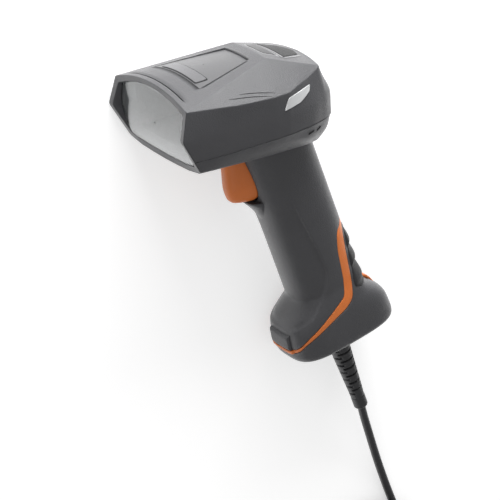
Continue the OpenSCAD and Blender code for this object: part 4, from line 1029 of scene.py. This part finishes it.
band_front = [  # v, t
    [-46, 121.3], [-37, 121.1], [-34.9, 120.1], [-28.7, 115.4], [-21.6, 112.2], [-12.9, 108.9], [-2.2, 104.7],
    [2, 102.3], [5.3, 94.2], [7, 84.6], [8.6, 75.1], [12.3, 66], [16, 63.8], [20.6, 62.2], [28, 60],
]
band_rear = [
    [-46, 123.5], [-36.8, 123.3], [-35.5, 122.8], [-29.7, 118.1], [-16.4, 113.8], [-7.9, 111.9],
    [0.8, 110], [6.5, 106.7], [9.4, 101.2], [11.1, 95.9], [13.3, 84.3], [15.4, 75.4], [17.8, 68.5],
    [20.8, 64.9], [28, 62.4],
]
COLUMNS = 360
around = np.linspace(0, 2 * math.pi, COLUMNS, endpoint=False)
front_edge_t = edge_place(around, band_front)
rear_edge_t = edge_place(around, band_rear)
print("band at the nose", front_edge_t[0], rear_edge_t[0], "at the back", front_edge_t[180], rear_edge_t[180])

# %% Three mouldings on one surface
GAP = 0.14  # half of a joint between two mouldings
BEND = 0.35  # from the lip to the level part
LIP_T = np.array([0.0, 0.0, 0.12])[:, None]
LIP_LIFT = np.array([-1.5, -0.3, -0.1])[:, None]


def stretch(start, end, s, start_lip=True, end_lip=True):
    """t and lift for every row and column between two edges, at the shares s; at a lip the surface rounds
    off and goes down into the grip."""
    start, end = start + GAP * start_lip, end - GAP * end_lip
    body_start, body_end = start + BEND * start_lip, end - BEND * end_lip
    t = body_start + s[:, None] * (body_end - body_start)
    lift = np.zeros_like(t)
    if start_lip:
        t, lift = np.concatenate([start + LIP_T, t]), np.concatenate([0 * start + LIP_LIFT, lift])
    if end_lip:
        t, lift = np.concatenate([t, end - LIP_T[::-1]]), np.concatenate([lift, 0 * end + LIP_LIFT[::-1]])
    return t, lift


TOP_T, BAY_T = -7.0, 24.6
OPEN_ROWS = 25  # rows of quads beside the trigger's opening
every_column = np.ones(COLUMNS)
upper, lower = np.linspace(0, 1, OPEN_ROWS + 1), np.linspace(0, 1, 120)
t_upper, lift_upper = stretch(TOP_T * every_column, BAY_T * every_column, upper, False, False)
t_lower, lift_lower = stretch(BAY_T * every_column, front_edge_t, lower, False)
t_front = np.concatenate([t_upper, t_lower[1:]])
lift_front = np.concatenate([lift_upper, lift_lower[1:]])
bay_columns = int(round(math.asin((8.0 / 17.2) ** 1.2) / (2 * math.pi / COLUMNS)))


def opened(t):
    """Column angles moved sideways, so that one column runs along the edge of the trigger's opening, whose
    half width is 6.3 mm under the head, 7.9 mm half way down and 3.5 mm at its round lower end; 12 mm below
    it they are even."""
    base = around[bay_columns]
    half_width = np.interp(t, [-8, -3, 4.8, 12, 17, 19.8, 21.5, 22.8, 24.0, 24.6],
                           [6.3, 6.7, 7.55, 7.9, 7.7, 6.95, 6.15, 5.3, 4.3, 3.5])
    _front, _back, side, n = section(t)
    edge = np.arcsin((half_width / side) ** (n / 2))
    edge = edge + (base - edge) * smooth_step(t, BAY_T, BAY_T + 12)
    fold = np.minimum(around, 2 * math.pi - around)[None]
    outside = edge + (fold - base) * (math.pi - edge) / (math.pi - base)
    bent = np.where(fold <= base + 1e-9, fold * edge / base, outside)
    return np.where(around[None] <= math.pi, bent, 2 * math.pi - bent)


front_grid = grip_at(opened(t_front), t_front, lift_front)
keep = np.ones((front_grid.shape[0] - 1, COLUMNS), bool)
keep[:OPEN_ROWS, :bay_columns] = False
keep[:OPEN_ROWS, -bay_columns:] = False
shell_parts = [(front_grid, grid_faces(*front_grid.shape[:2], closed=True, keep=keep))]
below = np.arange(bay_columns - 1, -bay_columns, -1)
edge = np.concatenate([front_grid[:OPEN_ROWS + 1, bay_columns], front_grid[OPEN_ROWS, below],
                       front_grid[OPEN_ROWS::-1, -bay_columns]])
rise = np.maximum(edge[OPEN_ROWS + 1, 2] + 6 - edge[:, 2], 0)
inwards = np.column_stack([-edge[:, 0], 0 * rise, rise])
inwards /= np.linalg.norm(inwards, axis=1, keepdims=True)
back = np.array([0.0, 1.0, 0.0])
bay_lip = np.stack([edge + inwards * k + back * d for k, d in ((0, 0), (0.1, 0.08), (0.2, 0.4), (0.2, 8))])
shell_parts.append((bay_lip, grid_faces(*bay_lip.shape[:2])))
dressed("grip_front", shell_parts, "shell_plastic", "grip_shell", outward=(0, 105, 75))
print("bay columns", bay_columns)

# %% Orange band: under the bumper it stands out by 1.5 mm
t_band, lift_band = stretch(front_edge_t, rear_edge_t, np.linspace(0, 1, 9))
v_band, x_band = across_at(around, front_edge_t)
BUMPER_HALF = 9.2
nose = (v_band < 0) * (1 - smooth_step(np.abs(x_band), BUMPER_HALF, BUMPER_HALF + 1.2))
lift_band = np.where(lift_band > -1, lift_band + 1.5 * nose, lift_band)
dressed("colour_band", [looped(grip_at(around[None], t_band, lift_band))], "orange_plastic", "orange_band",
        outward=(0, 115, 60))

# %% Back shell with foot and sole
heel_rows = np.concatenate([np.linspace(0, 0.55, 30)[:-1], np.linspace(0.55, 1, 75)])
t_back, lift_back = stretch(rear_edge_t, HANDLE * every_column, heel_rows, end_lip=False)
v_end, x_end = across_at(around, HANDLE * every_column)
sole_share = np.array([0.97, 0.9, 0.75, 0.55, 0.35, 0.15, 0.01])[:, None]
v_sole, x_sole = sole_share * v_end, sole_share * x_end
sole_grid = upright(x_sole, v_sole, HANDLE + foot_drop(v_sole, HANDLE))
back_grid = np.concatenate([grip_at(around[None], t_back, lift_back), sole_grid])
dressed("grip_back", [looped(back_grid)], "shell_plastic", "back_shell", outward=(0, 120, 40))

# %% [markdown]
# ## Shelf, pad, bumper and lanyard bar
#
# A small shelf in front of the grip guards the trigger's lower end. The rubber
# pad on the back has three ridges for the palm. Pad and bumper are soft lids on
# the grip's own surface, so they are made with the same function and a lift
# that is highest inside and dips under the shell at the rim.

# %% Shelf under the trigger
SHELF_REAR = -12.0  # every ring ends here, inside the grip
shelf_angle = np.linspace(0, 2 * math.pi, 72, endpoint=False)


def shelf_ring(front, half_x, t=None, level=None, shrink=1.0):
    """A ring with rounded corners across the grip at t, or at one upright height as level."""
    centre = (front + SHELF_REAR) / 2
    v = centre + shrink * (front - SHELF_REAR) / 2 * power(np.cos(shelf_angle), 0.8)
    x = shrink * half_x * power(np.sin(shelf_angle), 0.8)
    if level is not None:
        t = (AXIS_Z + v * math.sin(LEAN) - level) / math.cos(LEAN)
    return upright(x, v, t + 0 * v)


lower_rings = [(-21.4, 3.6, 39.0), (-22.6, 5.8, 35.0), (-23.8, 7.0, 31.0), (-25.4, 7.8, 28.0)]
upper_rings = [(-26.9, 8.1, 103.0), (-27.6, 8.1, 104.0), (-27.7, 8.0, 104.6), (-27.5, 7.8, 104.95),
               (-27.0, 7.5, 105.1)]
shelf_grid = np.stack([shelf_ring(front, half_x, t) for front, half_x, t in lower_rings]
                      + [shelf_ring(front, half_x, level=z) for front, half_x, z in upper_rings])
shelf_grid = rounded(shelf_grid, [0, 2, 2, 2, 0.5, 0.3, 0.2, 0.1, 0], 4, 2)
cap = [shelf_ring(-27.0, 7.5, level=105.1, shrink=share) for share in (0.9, 0.6, 0.3, 0.02)]
shelf_grid = np.concatenate([shelf_grid, np.stack(cap)])
dressed("trigger_shelf", [looped(shelf_grid)], "shell_plastic", outward=(0, 76, 103))


# %% Lids on the grip
def angle_at(v, t):
    """The column angle at which the section at t reaches v: the superellipse solved for its angle."""
    front, back, _side, n = section(t)
    share = (v - (front + back) / 2) / ((back - front) / 2)
    return np.arccos(np.clip(-power(share, n / 2), -1, 1))


BURIED = 0.5


def grip_lid(t, a_from, a_to, height, rim, columns):
    """A lid on the grip over rows t, between the angles a_from and a_to of each row. height(t) is how far
    it stands out; within rim mm of its edge it rounds off and dips under the shell."""
    s = (1 - np.cos(np.linspace(0, 1, columns) * math.pi)) / 2
    a = a_from[:, None] + s * (a_to - a_from)[:, None]
    p = grip_at(a, t[:, None] + 0 * a)
    across = np.linalg.norm(np.diff(p, axis=1), axis=2).cumsum(axis=1)
    across = np.concatenate([np.zeros((len(t), 1)), across], axis=1)
    along_t = np.minimum(t - t[0], t[-1] - t)[:, None]
    distance = np.minimum(np.minimum(across, across[:, -1:] - across), along_t)
    inside = np.clip(distance / rim, 0, 1)
    lift = -BURIED + (height(t)[:, None] + BURIED) * np.sqrt(np.clip(1 - (1 - inside) ** 2, 0, 1))
    return grip_at(a, t[:, None] + 0 * a, lift)


# %% Rubber pad with scallops
FIRST_RIDGE, PITCH, DEPTH = 77.0, 11.6, 1.15
rows = np.linspace(67.0, 105.4, 130)
rows = np.concatenate([rows[0] + np.array([0, 0.1, 0.2]), rows[1:-1], rows[-1] - np.array([0.2, 0.1, 0])])
rear_v = np.interp(rows, [62.4, 64.9, 68.5, 75.4, 84.3, 95.9, 101.2, 120],
                   [28, 20.8, 17.8, 15.4, 13.3, 11.1, 9.4, 8])
pad_v = np.clip(rear_v + 1.9, 11.2, 21.9) + 4.5 * smooth_step(rows, 100.5, 105.4) ** 2
pad_angle = angle_at(pad_v, rows)


def scallops(t):
    """0.3 mm plus waves of 11.6 mm pitch with ridges at 77, 88.6 and 100.2: each ridge is climbed slowly
    and left within a quarter of the pitch."""
    share = (t - FIRST_RIDGE) / PITCH % 1
    return 0.3 + DEPTH * np.where(share < 0.28, 1 - smooth_step(share, 0, 0.28), smooth_step(share, 0.28, 1))


pad_grid = grip_lid(rows, pad_angle, 2 * math.pi - pad_angle, scallops, rim=1.6, columns=60)
dressed("rubber_pad", [(pad_grid, grid_faces(*pad_grid.shape[:2]))], "soft_rubber", "rear_grip",
        outward=(0, 118, 62))

# %% Bumper on the nose
rows = np.linspace(111.0, front_edge_t[0] - 0.3, 36)
_f, _b, side, n = section(rows)
bump_angle = np.arcsin((BUMPER_HALF / side) ** (n / 2))
bumper_grid = grip_lid(rows, -bump_angle, bump_angle, lambda t: 1.9 + 0 * t, rim=1.4, columns=44)
dressed("nose_pad", [(bumper_grid, grid_faces(*bumper_grid.shape[:2]))], "soft_rubber", "nose_bumper",
        look="bumper_rubber", outward=(0, 100, 30))

# %% Lanyard bar: a flat strip over the pocket, along a smooth line in side view
bar_line = rounded(np.array([[22.0, 108.6], [25.6, 110.6], [28.0, 113.8], [29.7, 118.4], [31.2, 123.4]]),
                   [0, 1.5, 1.5, 2, 0], 6, 6)
corner = np.linspace(0, 2 * math.pi, 28, endpoint=False)
strip_x = 3.5 * power(np.cos(corner), 0.35)
strip_r = 1.0 * power(np.sin(corner), 0.5)
along = np.gradient(bar_line, axis=0)
along /= np.linalg.norm(along, axis=1, keepdims=True)
v_bar = bar_line[:, :1] + strip_r * along[:, 1:]
t_bar = bar_line[:, 1:] - strip_r * along[:, :1]
bar_grid = upright(strip_x[None] + 0 * v_bar, v_bar, t_bar)
dressed("lanyard_arch", [looped(bar_grid)], "orange_plastic", "lanyard_bar")

# %% [markdown]
# ## The trigger
#
# One orange tongue hangs on a pin inside the head. Seen from above it is a U:
# a front that is half a superellipse and two sides that vanish in the grip's
# opening. It is hollow above its solid lower end, and two arms reach up to the
# pin. It rides on the moving body, so it swings in every pose.

# %% Trigger
trigger_table = [  # height over KEY_Z, front, rear, half width
    [0, 57.6, 64.5, 2.4], [0.35, 55.2, 65.8, 3.5], [1.2, 53.6, 67.0, 4.7], [2.4, 52.5, 67.9, 5.6],
    [4, 51.7, 68.5, 6.4], [6.5, 50.8, 68.0, 7.1], [9.5, 50.1, 67.1, 7.45], [13, 49.7, 66.0, 7.4],
    [18, 49.2, 64.6, 7.1], [26, 48.4, 61.5, 6.3], [31.6, 47.8, 60.2, 5.8], [36.2, 47.6, 59.4, 5.6],
]
KEY_Z, FLOOR_H, TOP_H = 106.0, 3.2, 36.0
WALL, FRONT_WALL, TRIGGER_N = 1.6, 2.0, 2.6
ARM_X, ARM_HALF = 4.75, 1.1
swing = np.linspace(-math.pi / 2, math.pi / 2, 65)


def trigger_ring(h, hollow, shrink=1.0, thin=0.0):
    """The U at height h: outwards round the front with x = w sin^(2/n), y = rear - depth cos^(2/n), and back
    along its inner side, WALL within it at the sides and FRONT_WALL at the front; hollow 0 fills it, thin 1
    closes the wall."""
    front, rear, w = knots(trigger_table, np.array([h]))[0]
    sin, cos = power(np.sin(swing), 2 / TRIGGER_N), power(np.cos(swing), 2 / TRIGGER_N)
    outer = np.column_stack([w * sin, rear - (rear - front) * cos])
    inner = np.column_stack([(w - WALL) * sin, rear - (rear - front - FRONT_WALL) * hollow * cos])
    middle = (outer + inner) / 2
    ring = np.concatenate([outer + thin * (middle - outer), (inner + thin * (middle - inner))[::-1]])
    centre = np.array([0.0, (front + rear) / 2])
    ring = centre + shrink * (ring - centre)
    return np.column_stack([ring, np.full(len(ring), KEY_Z + h)])


trigger_rings = [trigger_ring(0, 0, s) for s in (0.02, 0.4, 0.75)]
solid_heights = np.concatenate([np.linspace(0, 1.2, 10), np.linspace(1.35, FLOOR_H, 9)])
trigger_rings += [trigger_ring(h, 0) for h in solid_heights]
trigger_rings += [trigger_ring(FLOOR_H, s) for s in (0.1, 0.5, 0.9, 1.0)]
trigger_rings += [trigger_ring(h, 1) for h in np.linspace(FLOOR_H, TOP_H, 50)[1:]]
trigger_rings += [trigger_ring(TOP_H + d, 1, thin=s) for d, s in ((0.12, 0.25), (0.2, 0.6), (0.2, 0.98))]
turn = np.linspace(0, 2 * math.pi, 48, endpoint=False)


def arm_ring(z, front, rear, side):
    """A rounded rectangle at height z, for the arms that reach up to the pin."""
    y = (front + rear) / 2 - (rear - front) / 2 * power(np.cos(turn), 0.3)
    return np.stack([side * (ARM_X + ARM_HALF * power(np.sin(turn), 0.3)), y, z + 0 * y], axis=-1)


arm_levels = [(137.0, 54.4, 54.6), (137.0, 51.6, 57.8), (140, 53.2, 59.0), (143.2, 55.2, 60.4),
              (145.8, 55.5, 60.5), (147.6, 56.3, 59.7), (148.2, 57.4, 58.6), (148.25, 57.95, 58.05)]
trigger_parts = [looped(np.stack(trigger_rings))]
trigger_parts += [looped(np.stack([arm_ring(*level, side) for level in arm_levels])) for side in (1, -1)]
dressed("trigger_shell", trigger_parts, "orange_plastic", "trigger", body="trigger")

# %% [markdown]
# ## Strain relief
#
# A tapered rubber sleeve keeps the cord from kinking. It bends because rows of
# slots, turned by a quarter from row to row, cut through its wall. The slots
# are part of the profile: where a smooth mask of height and angle says slot,
# the radius drops by 1.9 mm.

# %% Sleeve
RELIEF_V = -3.0
FIRST_SLOT, SLOT_PITCH, SLOT_ROWS, SLOT_DEPTH = 7, 2.9, 14, 1.9
relief_t = HANDLE + foot_drop(RELIEF_V, HANDLE)
down = [[-2.0], np.linspace(0, 5, 14)[:-1], np.linspace(5, 49, 265)[:-1], np.linspace(49, 57, 26)]
down = np.concatenate(down)
spin = np.linspace(0, 2 * math.pi, 112, endpoint=False)
taper = np.interp(down, [-2, 3, 5, 48, 48.6, 49.2, 56, 56.6, 57],
                  [6.8, 6.8, 6.5, 4.2, 4.0, 4.3, 4.3, 4.1, 3.7])


def slot_mask(z, angle):
    """1 in a slot and 0 outside: rows every 2.9 mm from 7 mm down, 1.2 mm tall, each with two slots of 104
    degrees, turned by 90 degrees in every other row; edges soft over 0.25 mm and 6 degrees."""
    row = np.round((z - FIRST_SLOT) / SLOT_PITCH)
    inside_rows = (row >= 0) & (row < SLOT_ROWS)
    tall = 1 - smooth_step(np.abs(z - FIRST_SLOT - row * SLOT_PITCH), 0.48, 0.72)
    centre = np.where(row % 2 == 0, 0.0, math.pi / 2)
    apart = np.abs((angle - centre + math.pi / 2) % math.pi - math.pi / 2)
    wide = 1 - smooth_step(apart, math.radians(49), math.radians(55))
    return inside_rows * tall * wide


relief_r = taper[:, None] - SLOT_DEPTH * slot_mask(down[:, None], spin[None])
sleeve = upright(relief_r * np.cos(spin), RELIEF_V + relief_r * np.sin(spin), relief_t + down[:, None])
inner_ring = [upright(r * np.cos(spin), RELIEF_V + r * np.sin(spin), relief_t + d + 0 * spin)
              for r, d in ((2.75, 57.0), (2.5, 56.0))]
sleeve = np.concatenate([sleeve, np.stack(inner_ring)])
dressed("sleeve", [looped(sleeve)], "cord_jacket", "strain_relief")

# %% [markdown]
# ## Small marks on the head
#
# Two fine decorative grooves run over each cheek, and two short vents sit on
# each side of the chin. Their shade is painted: near-black pieces lie in the
# surface, a thin rod along a line of the net and small lids.

# %% Cheek grooves: painted shade, a near-black rod along each
def on_cheek(y, share):
    """A point between the waist line (share 0) and the ridge (share 1) at y."""
    corners = ([36.25, 37.0, 38.0, 37.6], [179.55, 179.0, 178.2, 178.05])
    waist = np.stack([np.interp(y, [8.3, 20, 35.5, 58.5], values) for values in corners], axis=-1)
    s = (y - RIM_Y) / (FOLD_Y - RIM_Y)
    ridge = np.stack([36 - 19.5 * s, 179.8 + 13.0 * s], axis=-1)
    xz = waist + share[:, None] * (ridge - waist)
    return np.column_stack([xz[:, 0], y, xz[:, 1]])


groove_shade_parts = []
for from_y, from_share, to_y, to_share in ((38.7, 0.42, 59.7, 0.12), (31.2, 0.36, 56.6, 0.055)):
    s = np.linspace(0, 1, 24)
    line = on_cheek(from_y + s * (to_y - from_y), from_share + s * (to_share - from_share))
    rod, faces = looped(tube(line, 0.2 * np.sin(np.pi * np.clip(s, 0.02, 0.98)) ** 0.4, 10))
    for sign in (1, -1):
        groove_shade_parts.append((rod * np.array([sign, 1, 1]), faces[:, ::sign]))
dressed("cheek_groove_shade", groove_shade_parts, "inner_plastic")

# %% Vents of the chin: painted shade, a near-black lid over each slot
chin_wall = local_surface(chin_half, (81, 148.3), (98, 153.9))
vent_ends = [(83.5, 150.8, 87.7, 151.7), (90.3, 150.9, 93.9, 152.2)]
vents = [(sign, *ends) for sign in (1, -1) for ends in vent_ends]
for number, (sign, y0, z0, y1, z1) in enumerate(vents, 1):
    corners = [(y0, z0 - 0.6), (y1, z1 - 0.6), (y1, z1 + 0.6), (y0, z0 + 0.6)]
    grid = lid(dense(soft_outline(corners, 0.45, 3), 0.5), on_wall(chin_wall, sign), 0.6, 0.06, 0.16)
    # Each vent's dark slot is painted shade: a near-black lid standing 0.16 mm proud.
    dressed(f"vent_{number}", [looped(grid)], "inner_plastic", outward=(0, 85, 152))

# %% [markdown]
# ## The carried-over works
#
# Boards, brackets, screws, spring and plug keep their solids. Each gets the
# finish of its slot, so that what shows through the window or from below has
# a real surface too.

# %% Finishes for the nodes that stay
works = {
    "soft_rubber": ["cover_seal"],
    "cord_jacket": ["inner_cable", "plug_body", "coil_tie"],
    "horn_plastic": ["led_board", "board_connector"],
    "inner_plastic": ["trigger_frame", "trigger_switch", "lens_barrel", "camera_module", "aimer", "beeper",
                      "cord_socket"],
    "lens_glass": ["camera_lens"],
    "led_yellow": ["lighting_leds"],
    "circuit_board": ["main_board", "status_board", "switch_board"],
    "ribbon_film": ["flat_cable"],
    "tinned_steel": ["processor_shield", "camera_bracket", "plug_shell"],
    "screw_steel": ["trigger_pin", "trigger_spring", "chin_screws", "board_screws", "sole_screws"],
}
for slot, nodes in works.items():
    for node in nodes:
        thing = frame["nodes"][node]
        thing.data.materials.clear()
        thing.data.materials.append(FINISH[slot])
print("carried over", sum(len(nodes) for nodes in works.values()))

# %% [markdown]
# ## Table and light
#
# The table is white to the camera and in reflections, but it is a real matt
# surface for light, so the scanner's shadow stays on it. Two large soft lamps
# and an even pale sky light the scanner at a level at which a colour renders
# about as it is written.

# %% Table
table = bpy.data.meshes.new("table")
HALF_TABLE = 6.0
corners = [(HALF_TABLE * x, HALF_TABLE * y, 0) for x, y in ((-1, -1), (1, -1), (1, 1), (-1, 1))]
table.from_pydata(corners, [], [(0, 1, 2, 3)])
floor = bpy.data.objects.new("table", table)
scene.collection.objects.link(floor)
floor_material = bpy.data.materials.new("white_table")
floor_material.use_nodes = True
tree = floor_material.node_tree
tree.nodes.remove(tree.nodes["Principled BSDF"])
matt = add(tree, "BsdfDiffuse", {"Color": (0.82, 0.82, 0.82, 1.0)})
path_kind = add(tree, "LightPath")
strength = add(tree, "MapRange", {"To Min": 0.52, "To Max": 1.2},
               {"Value": path_kind.outputs["Is Glossy Ray"]})
glow = add(tree, "Emission", {"Color": (1, 1, 1, 1)}, {"Strength": strength.outputs["Result"]})
seen = math_node(tree, "MAXIMUM", path_kind.outputs["Is Camera Ray"], path_kind.outputs["Is Glossy Ray"])
seen = math_node(tree, "MAXIMUM", seen, path_kind.outputs["Is Transmission Ray"])
both = add(tree, "AddShader")
tree.links.new(matt.outputs[0], both.inputs[0])
tree.links.new(glow.outputs[0], both.inputs[1])
choose = add(tree, "MixShader", links={"Fac": seen})
tree.links.new(matt.outputs[0], choose.inputs[1])
tree.links.new(both.outputs[0], choose.inputs[2])
tree.links.new(choose.outputs[0], tree.nodes["Material Output"].inputs["Surface"])
table.materials.append(floor_material)


# %% Lamps and sky
def lamp(name, place, target, width, height, watts):
    """A rectangular lamp at a place, turned to a target, with its width level."""
    data = bpy.data.lights.new(name, "AREA")
    data.shape, data.size, data.size_y, data.energy = "RECTANGLE", width, height, watts
    thing = bpy.data.objects.new(name, data)
    scene.collection.objects.link(thing)
    way = np.array(target, float) - np.array(place, float)
    way /= np.linalg.norm(way)
    side = np.cross(way, [0.0, 0.0, 1.0])
    side /= np.linalg.norm(side)
    matrix = np.eye(4)
    matrix[:3, 0], matrix[:3, 1], matrix[:3, 2], matrix[:3, 3] = side, np.cross(side, way), -way, place
    thing.matrix_world = Matrix(matrix.tolist())


lamp("key", (-0.62, 0.06, 0.20), (0.05, 0.02, 0.05), 0.66, 0.32, 6.0)
lamp("fill", (0.5, -0.9, 1.3), (0, 0, 0.04), 0.9, 0.9, 2.0)
world = bpy.data.worlds.new("sky")
world.use_nodes = True
scene.world = world
sky = world.node_tree.nodes["Background"]
path_kind = add(world.node_tree, "LightPath")
seen = math_node(world.node_tree, "MAXIMUM", path_kind.outputs["Is Camera Ray"],
                 path_kind.outputs["Is Transmission Ray"])
strength = add(world.node_tree, "MapRange", {"To Min": 0.42, "To Max": 1.0}, {"Value": seen})
world.node_tree.links.new(strength.outputs["Result"], sky.inputs["Strength"])
sky.inputs["Color"].default_value = (1.0, 1.0, 1.0, 1.0)
